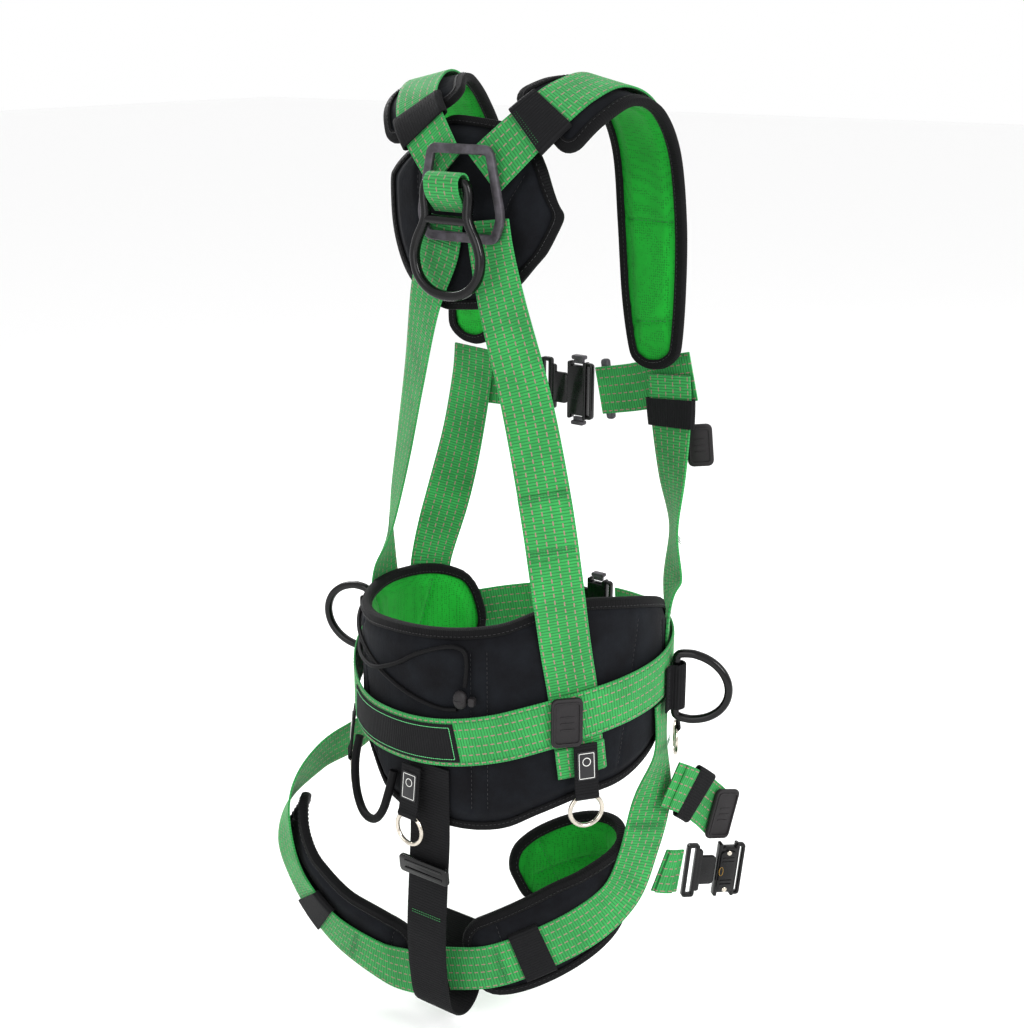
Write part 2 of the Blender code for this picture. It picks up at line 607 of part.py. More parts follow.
def belt_height(angle):
    for (a, z_a), (b, z_b) in zip(BELT_HEIGHTS, BELT_HEIGHTS[1:]):
        if a <= angle <= b:
            return z_a + (z_b - z_a) * (angle - a) / (b - a)
    return BELT_HEIGHTS[0][1]


def make_tool_ring(word, angle):
    middle = belt_height(angle)
    point, normal = waist_point(angle, middle - RING_DROP, RING_OUT)
    along = RISE.cross(normal)
    rows = []
    for z, out in ((-0.0275, BELT_OUT + 0.001), (-0.045, BELT_OUT + 0.0035), (-0.063, RING_OUT)):
        place, face = waist_point(angle, middle + z, out)
        rows.append((*place, *face))
    place, face = waist_point(angle, middle - RING_DROP + TOOL_WIRE_R + 0.0014, RING_OUT)
    rows.append((*place, *face))
    strap(f"tool_loop_{word}", rows, "black_web", width=0.022, steps=1)
    wire_ring(f"tool_ring_{word}", TOOL_RING_R, TOOL_WIRE_R, "steel",
              axes_at(point, along, normal))


def make_lacing():
    tube("lacing_lower", on_waist(LACING_LOWER, 3), CORD_R, "cord", steps=1)
    tube("lacing_upper", on_waist(LACING_UPPER, 3), CORD_R, "cord", steps=1)
    point, normal = waist_point(*LOCK_PLACE)
    frame = axes_at(point, RISE.cross(normal), normal)
    block("cord_lock", (0.013, 0.018, 0.010), 0.004, "rubber", frame)
    block("cord_lock_button", (0.006, 0.008, 0.006), 0.002, "rubber",
          frame @ Matrix.Translation((0.0112, 0, 0)))


def make_riser():
    strap("riser_strap", RISER, "black_web", steps=2)
    plate("riser_slide", rounded(0.056, 0.018, 0.004), [], 0.004, "black_metal",
          axes_at((-0.0080, 0.0764, -0.6400), (-1, 0, 0), (0, 1, -0.10)))
    tube("gear_loop", on_waist(GEAR_LOOP, 2), GEAR_LOOP_R, "black_web", steps=1)


def make_legs():
    for side, rows in (("right", LEG_STRAP_RIGHT), ("left", LEG_STRAP_LEFT)):
        angle, top, bottom = LEG_LOOP_TOP[side]
        start = down([(angle, top), (angle, bottom)], LEG_TOP_OUT)
        strap(f"leg_strap_{side}", start + plain(rows), steps=2, across=2)
    band("leg_pad_right", LEG_PAD_RIGHT, PAD_THICK, "pad", steps=2)
    band("leg_pad_left", LEG_PAD_LEFT, PAD_THICK, "pad", steps=2)
    strap("leg_branch_right", LEG_BRANCH, steps=2)
    strap("leg_front_right", LEG_FRONT, steps=2)
    block("leg_branch_tab", (0.030, 0.050, 0.005), 0.006, "rubber",
          axes_at((-0.1888, -0.1560, -0.6270), (-0.30, -0.90, -0.28), (-0.94, 0.33, 0)))
    make_buckle("leg_buckle", (-0.1900, -0.1444, -0.6814), (-0.62, -0.75, -0.1), (-0.78, 0.62, 0),
                latches=False)


def main():
    clear_scene()
    make_yoke()
    make_dorsal()
    make_back_straps()
    make_front_straps()
    make_chest()
    make_waist()
    for side, (angle, height) in SIDE_RINGS.items():
        make_side_ring(side, angle, height)
    for word, angle in TOOL_ANGLES.items():
        make_tool_ring(word, angle)
    make_lacing()
    make_riser()
    make_legs()


main()
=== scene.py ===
"""Looks of a full-body tree climbing harness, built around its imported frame.

The wearer faces -Y, the wearer's left is +X and +Z is up. The origin is the middle of the
dorsal plate's top bar. Lengths are metres, also the thread and grain sizes of the materials.
"""

import json
import math

import bmesh
import bpy
from bpy.props import FloatProperty, FloatVectorProperty, PointerProperty
from mathutils import Matrix, Vector, kdtree
from mathutils.bvhtree import BVHTree

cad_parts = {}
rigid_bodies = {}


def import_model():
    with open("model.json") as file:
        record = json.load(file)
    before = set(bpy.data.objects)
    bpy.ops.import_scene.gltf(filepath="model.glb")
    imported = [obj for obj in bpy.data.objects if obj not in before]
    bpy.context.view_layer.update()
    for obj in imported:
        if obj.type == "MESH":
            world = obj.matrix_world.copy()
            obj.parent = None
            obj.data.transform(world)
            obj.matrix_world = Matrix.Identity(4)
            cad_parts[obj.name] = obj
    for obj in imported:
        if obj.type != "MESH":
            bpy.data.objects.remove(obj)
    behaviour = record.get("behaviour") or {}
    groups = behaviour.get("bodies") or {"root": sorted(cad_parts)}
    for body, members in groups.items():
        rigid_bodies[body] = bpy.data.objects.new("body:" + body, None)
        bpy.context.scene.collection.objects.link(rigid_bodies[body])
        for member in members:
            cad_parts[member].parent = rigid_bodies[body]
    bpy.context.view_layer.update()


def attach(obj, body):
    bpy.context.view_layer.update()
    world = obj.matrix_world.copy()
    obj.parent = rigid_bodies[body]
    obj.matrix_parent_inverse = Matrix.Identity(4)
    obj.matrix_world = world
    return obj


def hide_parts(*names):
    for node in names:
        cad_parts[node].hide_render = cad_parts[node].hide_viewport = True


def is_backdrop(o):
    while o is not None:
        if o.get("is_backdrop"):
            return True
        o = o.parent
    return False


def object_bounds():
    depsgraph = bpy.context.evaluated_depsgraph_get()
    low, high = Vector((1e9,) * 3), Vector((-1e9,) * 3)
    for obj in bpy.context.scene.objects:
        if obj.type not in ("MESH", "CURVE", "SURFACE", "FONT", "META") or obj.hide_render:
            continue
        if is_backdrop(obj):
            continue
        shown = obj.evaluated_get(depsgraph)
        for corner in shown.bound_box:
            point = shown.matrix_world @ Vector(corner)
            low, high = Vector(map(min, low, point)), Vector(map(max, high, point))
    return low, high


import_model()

bl_info = {
    "name": "Climbing harness",
    "version": (1, 0, 0),
    "blender": (4, 5, 0),
    "location": "3D View > Sidebar > Harness",
    "description": "Builds the webbing, pads and fittings of a tree climbing harness",
    "category": "Add Mesh",
}

RISE = Vector((0, 0, 1))

# Sizes shared with the frame
WEB = 0.045                 # width of the load webbing
WEB_THICK = 0.002
PAD_THICK = 0.010
SHOULDER_THICK = 0.009
WAIST_X = -0.004
WAIST_Y = -0.065
WAIST_A = 0.145
WAIST_B = 0.125
BELT_OUT = 0.0126
UNDER_OUT = 0.0084
RIB = 0.0027                # spacing of the webbing's crosswise ribs
RIB_HIGH = 0.00016
BINDING_WIDE = 0.0065

# Yoke and shoulders: centre, outward normal and width, from the back over the shoulder
SHIELD = (
    (0.003, -0.036, 0.020, 0, 1, 0.55, 0.086, 0.004),
    (0.006, -0.0235, -0.007, 0, 1, 0.25, 0.140, 0.012),
    (0.010, -0.0125, -0.034, 0, 1, 0, 0.178, 0.021),
    (0.013, -0.0125, -0.060, 0, 1, 0, 0.176, 0.020),
    (0.013, -0.0125, -0.090, 0, 1, 0, 0.154, 0.015),
    (0.011, -0.0125, -0.116, 0, 1, 0, 0.112, 0.008),
    (0.009, -0.0125, -0.136, 0, 1, 0, 0.056, 0.002),
)
SHOULDER = (
    (-0.0612, -0.0270, 0.0195, -0.25, 0.78, 0.62, 0.082),
    (-0.0800, -0.0500, 0.040, -0.25, 0.40, 0.90, 0.078),
    (-0.0900, -0.0790, 0.047, -0.22, -0.05, 1.00, 0.072),
    (-0.0950, -0.1120, 0.032, -0.15, -0.70, 0.75, 0.068),
    (-0.0960, -0.1390, -0.006, -0.10, -1.00, 0.28, 0.067),
    (-0.0960, -0.1520, -0.070, -0.05, -1.00, 0.05, 0.067),
    (-0.0990, -0.1530, -0.135, -0.05, -1.00, 0.00, 0.062),
    (-0.1040, -0.1500, -0.182, -0.05, -1.00, 0.00, 0.050),
    (-0.1060, -0.1480, -0.198, -0.05, -1.00, 0.00, 0.034),
)
OVER_PAD = 0.0075           # shoulder strap centre above the pad's middle surface
PLATE_STRAP_START = (-0.0195, -0.0030, -0.0200, -0.05, 1.0, 0.05)

# Straps from the dorsal plate down the back, and from the chest down the front
BACK_STRAP_RIGHT = (
    (-0.0240, -0.0030, -0.058, 0.00, 1.00, 0.00),
    (-0.0290, -0.0030, -0.088, -0.05, 1.00, 0.00),
    (-0.0450, 0.0030, -0.132, -0.20, 1.00, 0.00),
    (-0.0760, 0.0125, -0.205, -0.40, 0.95, 0.00),
    (-0.1020, 0.0215, -0.285, -0.55, 0.85, 0.00),
    (-0.1180, 0.0270, -0.350, -0.65, 0.75, 0.00),
)
BACK_STRAP_LEFT = (
    (0.0240, -0.0030, -0.058, 0.00, 1.00, 0.00),
    (0.0290, -0.0030, -0.088, 0.05, 1.00, 0.00),
    (0.0440, -0.0020, -0.132, 0.30, 0.95, 0.00),
    (0.0710, -0.0180, -0.205, 0.50, 0.87, 0.00),
    (0.0990, -0.0340, -0.280, 0.60, 0.80, 0.00),
    (0.1280, -0.0490, -0.355, 0.75, 0.66, 0.00),
    (0.1450, -0.0580, -0.400, 0.95, 0.30, 0.00),
)
FRONT_STRAP_LEFT = (
    (0.1120, -0.1610, -0.207, 0.05, -1.00, 0.00),
    (0.1150, -0.1610, -0.240, 0.10, -1.00, 0.00),
    (0.1240, -0.1560, -0.300, 0.20, -1.00, 0.00),
    (0.1340, -0.1450, -0.360, 0.50, -0.80, 0.00),
)
FRONT_STRAP_RIGHT = (
    (-0.1120, -0.1610, -0.207, -0.05, -1.00, 0.00),
    (-0.1150, -0.1610, -0.240, -0.10, -1.00, 0.00),
    (-0.1200, -0.1580, -0.300, -0.45, -0.85, 0.00),
    (-0.1260, -0.1540, -0.350, -0.75, -0.60, 0.00),
    (-0.1300, -0.1480, -0.400, -0.60, -0.75, 0.00),
)
CHEST_Z = -0.237
CHEST_Y = -0.171
CHEST_BAND_LEFT = (
    (0.0380, CHEST_Y, -0.238, 0, -1, 0),
    (0.0650, -0.1700, -0.240, 0, -1, 0),
    (0.1050, -0.1665, -0.241, 0.05, -1, 0),
    (0.1350, -0.1655, -0.240, 0.08, -1, 0),
)
CHEST_BAND_RIGHT = (
    (-0.0302, CHEST_Y, -0.2345, 0, -1, 0),
    (-0.0720, -0.1700, -0.225, 0, -1, 0),
    (-0.1050, -0.1665, -0.214, -0.05, -1, 0),
    (-0.1350, -0.1655, -0.206, -0.08, -1, 0),
)

# Waist pad and belt: angle, top and bottom of the pad; angle and height of the belt
PAD_EDGES = (
    (-136, -0.468, -0.512), (-132, -0.450, -0.528), (-124, -0.436, -0.536),
    (-110, -0.427, -0.542), (-88, -0.424, -0.545), (-66, -0.425, -0.548),
    (-40, -0.423, -0.556), (-20, -0.416, -0.588), (8, -0.407, -0.594),
    (28, -0.397, -0.588), (42, -0.383, -0.572), (58, -0.375, -0.558),
    (76, -0.380, -0.552), (94, -0.390, -0.540), (110, -0.404, -0.528),
    (122, -0.424, -0.516), (128, -0.446, -0.500),
)
BELT_HEIGHTS = (
    (-165, -0.472), (-148, -0.480), (-128, -0.487), (-108, -0.484), (-84, -0.484),
    (-60, -0.500), (-36, -0.516), (-12, -0.515), (8, -0.509), (26, -0.498),
    (42, -0.485), (58, -0.475), (78, -0.468), (98, -0.464), (120, -0.460),
    (142, -0.458), (155, -0.461), (168, -0.464),
)
SIDE_RINGS = {"right": (105, -0.4800), "left": (-83, -0.4700)}     # angle and height
TAB_ANGLE = 51
RING_OUT = BELT_OUT + 0.0055
RING_DROP = 0.075           # from the belt's middle down to a tool ring's hinge
TOOL_RING_R = 0.0150        # to the middle of the wire
TOOL_WIRE_R = 0.0020
TOOL_ANGLES = {"right": 119, "back_right": 58, "back": -4, "back_left": -52, "left": -116}

# Leg loops
RISER = (
    (-0.0080, 0.0667, -0.5370, 0, 1, 0.00),
    (-0.0080, 0.0667, -0.5750, 0, 1, 0.00),
    (-0.0080, 0.0672, -0.6120, 0, 1, -0.05),
    (-0.0085, 0.0720, -0.6600, 0, 1, -0.05),
    (-0.0090, 0.0760, -0.7090, 0, 1, 0.00),
    (-0.0100, 0.0750, -0.7520, 0, 1, -0.10),
    (-0.0100, 0.0680, -0.7860, 0, 0.70, -0.70),
    (-0.0100, 0.0470, -0.7990, 0, 0.00, -1.00),
    (-0.0100, 0.0280, -0.7870, 0, -0.80, -0.60),
    (-0.0090, 0.0200, -0.7520, 0, -1.00, 0.00),
    (-0.0085, 0.0240, -0.7120, 0, -1.00, 0.00),
)
LEG_STRAP_RIGHT = (
    (-0.1490, -0.0880, -0.6000, -1.00, 0.45, 0.00),
    (-0.1440, -0.0760, -0.6476, -0.95, 0.50, -0.15),
    (-0.1380, -0.0560, -0.6844, -0.85, 0.60, -0.10),
    (-0.1188, -0.0252, -0.7102, -0.72, 0.72, 0.00),
    (-0.0850, 0.0110, -0.7322, -0.62, 0.78, 0.00),
    (-0.0520, 0.0370, -0.7470, -0.50, 0.86, 0.00),
    (-0.0120, 0.0520, -0.7562, -0.15, 1.00, 0.00),
)
LEG_PAD_RIGHT = (
    (-0.0300, 0.0380, -0.7451, -0.50, 0.86, 0, 0.070, 0),
    (-0.0560, 0.0255, -0.7378, -0.55, 0.83, 0, 0.082, 0),
    (-0.0830, 0.0020, -0.7240, -0.65, 0.78, 0, 0.086, 0),
    (-0.1080, -0.0250, -0.7046, -0.75, 0.68, 0, 0.084, 0),
    (-0.1240, -0.0500, -0.6862, -0.95, 0.30, 0, 0.078, 0),
    (-0.1240, -0.0780, -0.6734, -0.90, -0.45, 0, 0.076, 0),
    (-0.1020, -0.0970, -0.6734, -0.30, -0.95, 0, 0.080, 0),
    (-0.0720, -0.0950, -0.6826, 0.25, -1.00, 0, 0.084, 0),
    (-0.0400, -0.0780, -0.6982, 0.55, -0.85, 0, 0.080, 0),
    (-0.0180, -0.0560, -0.7120, 0.65, -0.75, 0, 0.060, 0),
)
LEG_STRAP_LEFT = (
    (0.1532, -0.0720, -0.5600, 1.00, 0.10, 0.20),
    (0.1570, -0.0320, -0.5860, 0.98, 0.05, 0.25),
    (0.1680, 0.0180, -0.5980, 0.97, 0.05, 0.35),
    (0.1740, 0.0580, -0.6255, 0.80, 0.55, 0.20),
    (0.1680, 0.0760, -0.6678, 0.45, 0.90, 0.00),
    (0.1500, 0.0740, -0.7138, 0.35, 0.94, -0.10),
    (0.1120, 0.0700, -0.7506, 0.28, 0.95, -0.10),
    (0.0600, 0.0620, -0.7709, 0.17, 1.00, -0.05),
    (0.0240, 0.0600, -0.7690, 0.05, 1.00, 0.00),
    (-0.0050, 0.0610, -0.7598, 0.00, 1.00, 0.00),
)
LEG_PAD_LEFT = (
    (0.1635, 0.0490, -0.6283, 0.80, 0.57, 0.10, 0.050, 0),
    (0.1600, 0.0665, -0.6605, 0.50, 0.86, 0.00, 0.066, 0),
    (0.1437, 0.0662, -0.6973, 0.38, 0.92, -0.10, 0.074, 0),
    (0.1084, 0.0612, -0.7341, 0.28, 0.95, -0.10, 0.078, 0),
    (0.0652, 0.0535, -0.7562, 0.17, 1.00, -0.05, 0.074, 0),
    (0.0280, 0.0480, -0.7635, 0.05, 1.00, 0.00, 0.056, 0),
)
LEG_TOP_OUT = 0.0096
LEG_LOOP_TOP = {"right": (104, -0.4935, -0.545), "left": (-104, -0.5160, -0.538)}
LEG_BRANCH = (
    (-0.1640, -0.0960, -0.5780, -0.94, 0.33, 0.00),
    (-0.1720, -0.1180, -0.5920, -0.94, 0.33, 0.00),
    (-0.1800, -0.1440, -0.6150, -0.94, 0.33, 0.00),
    (-0.1860, -0.1640, -0.6380, -0.94, 0.33, 0.00),
)
LEG_FRONT = (
    (-0.1550, -0.0965, -0.6720, -0.72, 0.68, 0.00),
    (-0.1610, -0.1060, -0.6755, -0.76, 0.64, 0.00),
    (-0.1672, -0.1161, -0.6775, -0.78, 0.62, 0.00),
)

# Buckles: height across the webbing, length of the housing, and the side buttons
BUCKLE_HIGH = 0.056
HOUSING_LONG = 0.028
LATCH_HIGH = 0.004
LATCH_TRAVEL = 0.0016

# Dorsal ring's hinge, and the plate's outline and window seen flat
DORSAL_HINGE = (0.003, 0.0175, -0.0270)
PLATE_OUTER = (
    (0.0340, 0.0040), (-0.0340, 0.0040), (-0.0470, -0.0550), (-0.0400, -0.0780),
    (0.0400, -0.0780), (0.0470, -0.0550),
)
PLATE_WINDOW = (
    (0.0270, -0.0050), (-0.0270, -0.0050), (-0.0370, -0.0550), (-0.0320, -0.0690),
    (0.0320, -0.0690), (0.0370, -0.0550),
)
SIDE_HALF_HIGH = 0.036
SIDE_REACH = 0.052

# Elastic lacing on the left of the pad: angle, height and distance out of each point
ON_PAD = 0.0078
LACING_LOWER = (
    (-76, -0.4380, ON_PAD), (-62, -0.4410, ON_PAD), (-44, -0.4500, ON_PAD), (-23, -0.4635, ON_PAD),
    (-8, -0.4730, ON_PAD), (2, -0.4775, ON_PAD), (8, -0.4785, ON_PAD), (13.6, -0.4755, 0.0095),
)
LACING_UPPER = (
    (-76, -0.4620, ON_PAD), (-62, -0.4690, ON_PAD), (-46, -0.4690, ON_PAD), (-34, -0.4660, 0.0095),
    (-23, -0.4605, 0.0124), (-12, -0.4480, 0.0100), (-3, -0.4330, ON_PAD), (6, -0.4220, ON_PAD),
    (12, -0.4175, ON_PAD), (16, -0.4200, ON_PAD), (17, -0.4300, ON_PAD), (16.8, -0.4420, ON_PAD),
    (16.5, -0.4530, 0.0095),
)
CORD_R = 0.0020
LOCK_PLACE = (15.4, -0.4640, 0.0128)

GEAR_LOOP = (
    (-46, -0.5560, 0.0110), (-45, -0.5780, 0.0160), (-41, -0.6020, 0.0180), (-33, -0.6170, 0.0180),
    (-24, -0.6150, 0.0180), (-18, -0.6000, 0.0180), (-15, -0.5780, 0.0160), (-14, -0.5560, 0.0110),
)
GEAR_LOOP_R = 0.0040


def linear(hex_colour):
    """An sRGB hex colour as linear RGBA."""
    parts = [int(hex_colour[i:i + 2], 16) / 255 for i in (0, 2, 4)]
    return (*[c / 12.92 if c <= 0.04045 else ((c + 0.055) / 1.055) ** 2.4 for c in parts], 1)


class HarnessSizes(bpy.types.PropertyGroup):
    """Sizes that a maker would change."""
    swell: FloatProperty(
        name="Pad swell", description="Most that a pad's face may rise when it is filled",
        default=0.0022, min=0.0, max=0.006, unit="LENGTH")
    voxel: FloatProperty(
        name="Pad detail", description="Size of the cells that a pad is rebuilt from",
        default=0.0042, min=0.003, max=0.008, unit="LENGTH")
    rib: FloatProperty(
        name="Rib height", description="Height of the webbing's crosswise ribs",
        default=RIB_HIGH, min=0.0, max=0.001, unit="LENGTH")
    floor_drop: FloatProperty(
        name="Floor drop", description="Distance from the harness down to the floor",
        default=0.020, min=0.0, max=0.5, unit="LENGTH")


class HarnessColours(bpy.types.PropertyGroup):
    """Colours that a maker would change."""
    webbing: FloatVectorProperty(
        name="Webbing", description="Colour of the load webbing",
        default=linear("389A52")[:3], size=3, min=0, max=1, subtype="COLOR")
    lining: FloatVectorProperty(
        name="Lining", description="Colour of the pads' knitted lining",
        default=linear("169B30")[:3], size=3, min=0, max=1, subtype="COLOR")
    tracer: FloatVectorProperty(
        name="Tracer", description="Colour of the tracer yarns in the webbing",
        default=linear("9B7973")[:3], size=3, min=0, max=1, subtype="COLOR")


# Curves and strips


def catmull(a, b, c, d, t):
    return 0.5 * (2 * b + (c - a) * t + (2 * a - 5 * b + 4 * c - d) * t * t
                  + (3 * b - a - 3 * c + d) * t * t * t)


def smooth_rows(rows, steps):
    """Rows of equal-length tuples, read off a smooth curve through them."""
    rows = [rows[0], *rows, rows[-1]]
    out = []
    for index in range(1, len(rows) - 2):
        quad = rows[index - 1:index + 3]
        for step in range(steps):
            out.append([catmull(*values, step / steps) for values in zip(*quad)])
    out.append(list(rows[-2]))
    return out


def smooth_loop(points, steps):
    """A smooth closed curve through 2-D points."""
    count = len(points)
    out = []
    for index in range(count):
        quad = [points[(index + offset) % count] for offset in (-1, 0, 1, 2)]
        for step in range(steps):
            out.append([catmull(*values, step / steps) for values in zip(*quad)])
    return out


def waist_point(angle, z, out=0.0):
    """A point of the waist ellipse pushed outwards, with its outward normal."""
    turn = math.radians(angle)
    normal = Vector((-math.sin(turn) / WAIST_A, math.cos(turn) / WAIST_B, 0)).normalized()
    base = Vector((WAIST_X - WAIST_A * math.sin(turn), WAIST_Y + WAIST_B * math.cos(turn), z))
    return base + normal * out, normal


def around(heights, out):
    """Rows of a belt that follows the waist, from angle and height pairs."""
    return [(*place, *normal) for place, normal in
            (waist_point(angle, z, out) for angle, z in smooth_rows(heights, 6))]


def down(heights, out):
    """Rows of a strap that runs down the waist and bends across to follow it."""
    rows = []
    for angle, z in heights:
        turn = math.radians(angle)
        round_there = math.hypot(WAIST_A * math.cos(turn), WAIST_B * math.sin(turn)) ** 3
        radius = round_there / (WAIST_A * WAIST_B)
        place, normal = waist_point(angle, z, out)
        rows.append((*place, *normal, (WEB / 2) ** 2 / (2 * radius)))
    return rows


def plain(rows):
    return [(*row, 0) for row in rows]


def mirrored(rows):
    """The same rows on the wearer's other side."""
    return [(-row[0], *row[1:3], -row[3], *row[4:]) for row in rows]


def with_width(points, width=WEB):
    """Strap rows of place and normal, given a width and the bow that they name or none."""
    return [(*point[:6], width, point[6] if len(point) > 6 else 0) for point in points]


class Strip:
    """The middle surface of a strap or pad, read by distance along it and position across."""

    SPACING = 0.0015

    def __init__(self, rows, steps=8, upright=False):
        rows = smooth_rows(rows, steps)
        lengths = [0.0]
        for a, b in zip(rows, rows[1:]):
            lengths.append(lengths[-1] + (Vector(b[:3]) - Vector(a[:3])).length)
        self.length = lengths[-1]
        count = max(4, round(self.length / self.SPACING))
        self.rows, index = [], 0
        for number in range(count + 1):
            want = self.length * number / count
            while index < len(lengths) - 2 and lengths[index + 1] < want:
                index += 1
            share = (want - lengths[index]) / max(lengths[index + 1] - lengths[index], 1e-9)
            pair = zip(rows[index], rows[index + 1])
            self.rows.append([a + (b - a) * share for a, b in pair])
        self.frames = []
        last = len(self.rows) - 1
        for number, row in enumerate(self.rows):
            before, after = self.rows[max(number - 2, 0)], self.rows[min(number + 2, last)]
            along = (Vector(after[:3]) - Vector(before[:3])).normalized()
            if upright:
                along = RISE.cross(Vector(row[3:6])).normalized()
            side = along.cross(Vector(row[3:6])).normalized()
            self.frames.append((Vector(row[:3]), along, side, side.cross(along), row[6], row[7]))

    def at(self, s):
        place = min(max(s / self.length, 0), 1) * (len(self.frames) - 1)
        index = min(int(place), len(self.frames) - 2)
        share = place - index
        return [a + (b - a) * share for a, b in zip(self.frames[index], self.frames[index + 1])]

    def half(self, s):
        return self.at(s)[4] / 2

    def spot(self, s, x, lift=0.0):
        """The point at distance s along and x across, lifted, with its along and outward axes."""
        centre, along, side, level, width, bow = self.at(s)
        share = 2 * x / width
        outward = (level + side * (4 * bow * share / width)).normalized()
        place = centre + side * x - level * (bow * share * share) + outward * lift
        beyond = s - min(max(s, 0), self.length)
        return place + along * beyond, along, outward


def axes_at(origin, along, normal):
    """A frame whose X runs along, whose Z is the outward normal, and whose origin is given."""
    x = Vector(along).normalized()
    z = Vector(normal)
    z = (z - x * z.dot(x)).normalized()
    turned = Matrix((x, z.cross(x), z)).transposed().to_4x4()
    turned.translation = Vector(origin)
    return turned


def frame_on(strip, s, x, lift):
    """A frame that lies on a strip, with X along it and Z outwards."""
    place, along, outward = strip.spot(s, x, lift)
    return axes_at(place, along, outward)


# Every strip of the harness

def strips():
    made = {"yoke_shield": Strip(SHIELD)}
    over = [PLATE_STRAP_START]
    for row in SHOULDER[:-1]:
        normal = Vector(row[3:6]).normalized()
        over.append((*(Vector(row[:3]) + normal * OVER_PAD), *row[3:6]))
    pad = [(*row, 0.002) for row in SHOULDER]
    made["shoulder_pad_right"] = Strip(pad)
    made["shoulder_pad_left"] = Strip(mirrored(pad))
    made["shoulder_strap_right"] = Strip(with_width(over))
    made["shoulder_strap_left"] = Strip(with_width(mirrored(over)))
    lower = down(((51, -0.410), (54, -0.455), (56, -0.495), (58, -0.5350)), UNDER_OUT)
    made["back_strap_right"] = Strip(with_width(plain(BACK_STRAP_RIGHT) + lower))
    lower = down(((-87, -0.438), (-88, -0.470), (-88, -0.504)), UNDER_OUT)
    made["back_strap_left"] = Strip(with_width(plain(BACK_STRAP_LEFT) + lower))
    lower = down(((-113, -0.425), (-114, -0.465), (-114, -0.504)), UNDER_OUT)
    made["front_strap_left"] = Strip(with_width(plain(FRONT_STRAP_LEFT) + lower))
    lower = down(((119, -0.430), (119, -0.458), (119, -0.482)), UNDER_OUT)
    made["front_strap_right"] = Strip(with_width(plain(FRONT_STRAP_RIGHT) + lower))
    made["chest_band_left"] = Strip(with_width(CHEST_BAND_LEFT))
    made["chest_band_right"] = Strip(with_width(CHEST_BAND_RIGHT))
    rows = []
    for angle, top, bottom in smooth_rows(PAD_EDGES, 4):
        point, normal = waist_point(angle, (top + bottom) / 2)
        rows.append((*point, *normal, top - bottom, 0))
    made["waist_pad"] = Strip(rows, 1, upright=True)
    made["belt_strap"] = Strip(with_width(around(BELT_HEIGHTS, BELT_OUT)), 1)
    made["riser_strap"] = Strip(with_width(RISER))
    for side, rows in (("right", LEG_STRAP_RIGHT), ("left", LEG_STRAP_LEFT)):
        angle, top, bottom = LEG_LOOP_TOP[side]
        start = down([(angle, top), (angle, bottom)], LEG_TOP_OUT)
        made[f"leg_strap_{side}"] = Strip(with_width(start + plain(rows)))
    made["leg_pad_right"] = Strip(LEG_PAD_RIGHT)
    made["leg_pad_left"] = Strip(LEG_PAD_LEFT)
    made["leg_branch_right"] = Strip(with_width(LEG_BRANCH))
    made["leg_front_right"] = Strip(with_width(LEG_FRONT))
    return made


STRIPS = strips()


def belt_height(angle):
    for (a, z_a), (b, z_b) in zip(BELT_HEIGHTS, BELT_HEIGHTS[1:]):
        if a <= angle <= b:
            return z_a + (z_b - z_a) * (angle - a) / (b - a)
    return BELT_HEIGHTS[0][1]


# Materials


def add(tree, kind, sockets, **settings):
    """Add a node, set its properties, and link or set its sockets by name or number."""
    made = tree.nodes.new("ShaderNode" + kind)
    for name, value in settings.items():
        setattr(made, name, value)
    for name, value in sockets.items():
        if isinstance(value, bpy.types.NodeSocket):
            tree.links.new(value, made.inputs[name])
        else:
            made.inputs[name].default_value = value
    return made


def start_material(name, roughness, metallic=0.0, sheen=0.0, coat=0.0, colour=None):
    """A new material with its shader's plain values set, its node tree and its shader."""
    made = bpy.data.materials.new(name)
    made.use_nodes = True
    shader = made.node_tree.nodes["Principled BSDF"]
    shader.inputs["Roughness"].default_value = roughness
    shader.inputs["Metallic"].default_value = metallic
    shader.inputs["Sheen Weight"].default_value = sheen
    shader.inputs["Sheen Roughness"].default_value = 0.5
    shader.inputs["Coat Weight"].default_value = coat
    shader.inputs["Coat Roughness"].default_value = 0.08
    if colour:
        shader.inputs["Base Color"].default_value = linear(colour)
    return made, made.node_tree, shader


def weave(tree, u, v, warp, weft, blend=0.5):
    """A plain-weave height from 0 to 1, with yarns warp and weft apart in metres."""
    waves = []
    for way, pitch in ((u, warp), (v, weft)):
        turned = add(tree, "Math", {0: way, 1: math.tau / pitch}, operation="MULTIPLY")
        wave = add(tree, "Math", {0: turned.outputs[0]}, operation="SINE")
        waves.append(add(tree, "Math", {0: wave.outputs[0]}, operation="ABSOLUTE").outputs[0])
    return add(tree, "Mix", {0: blend, 2: waves[0], 3: waves[1]}).outputs[0]


def bump(tree, shader, height, strength, distance):
    made = add(tree, "Bump", {"Height": height, "Strength": strength, "Distance": distance})
    tree.links.new(made.outputs[0], shader.inputs["Normal"])


def cloth_uv(tree):
    """The piece's own map in metres: across, then along."""
    uv = add(tree, "UVMap", {}, uv_map="cloth")
    parts = add(tree, "SeparateXYZ", {0: uv.outputs[0]})
    return parts.outputs[0], parts.outputs[1]


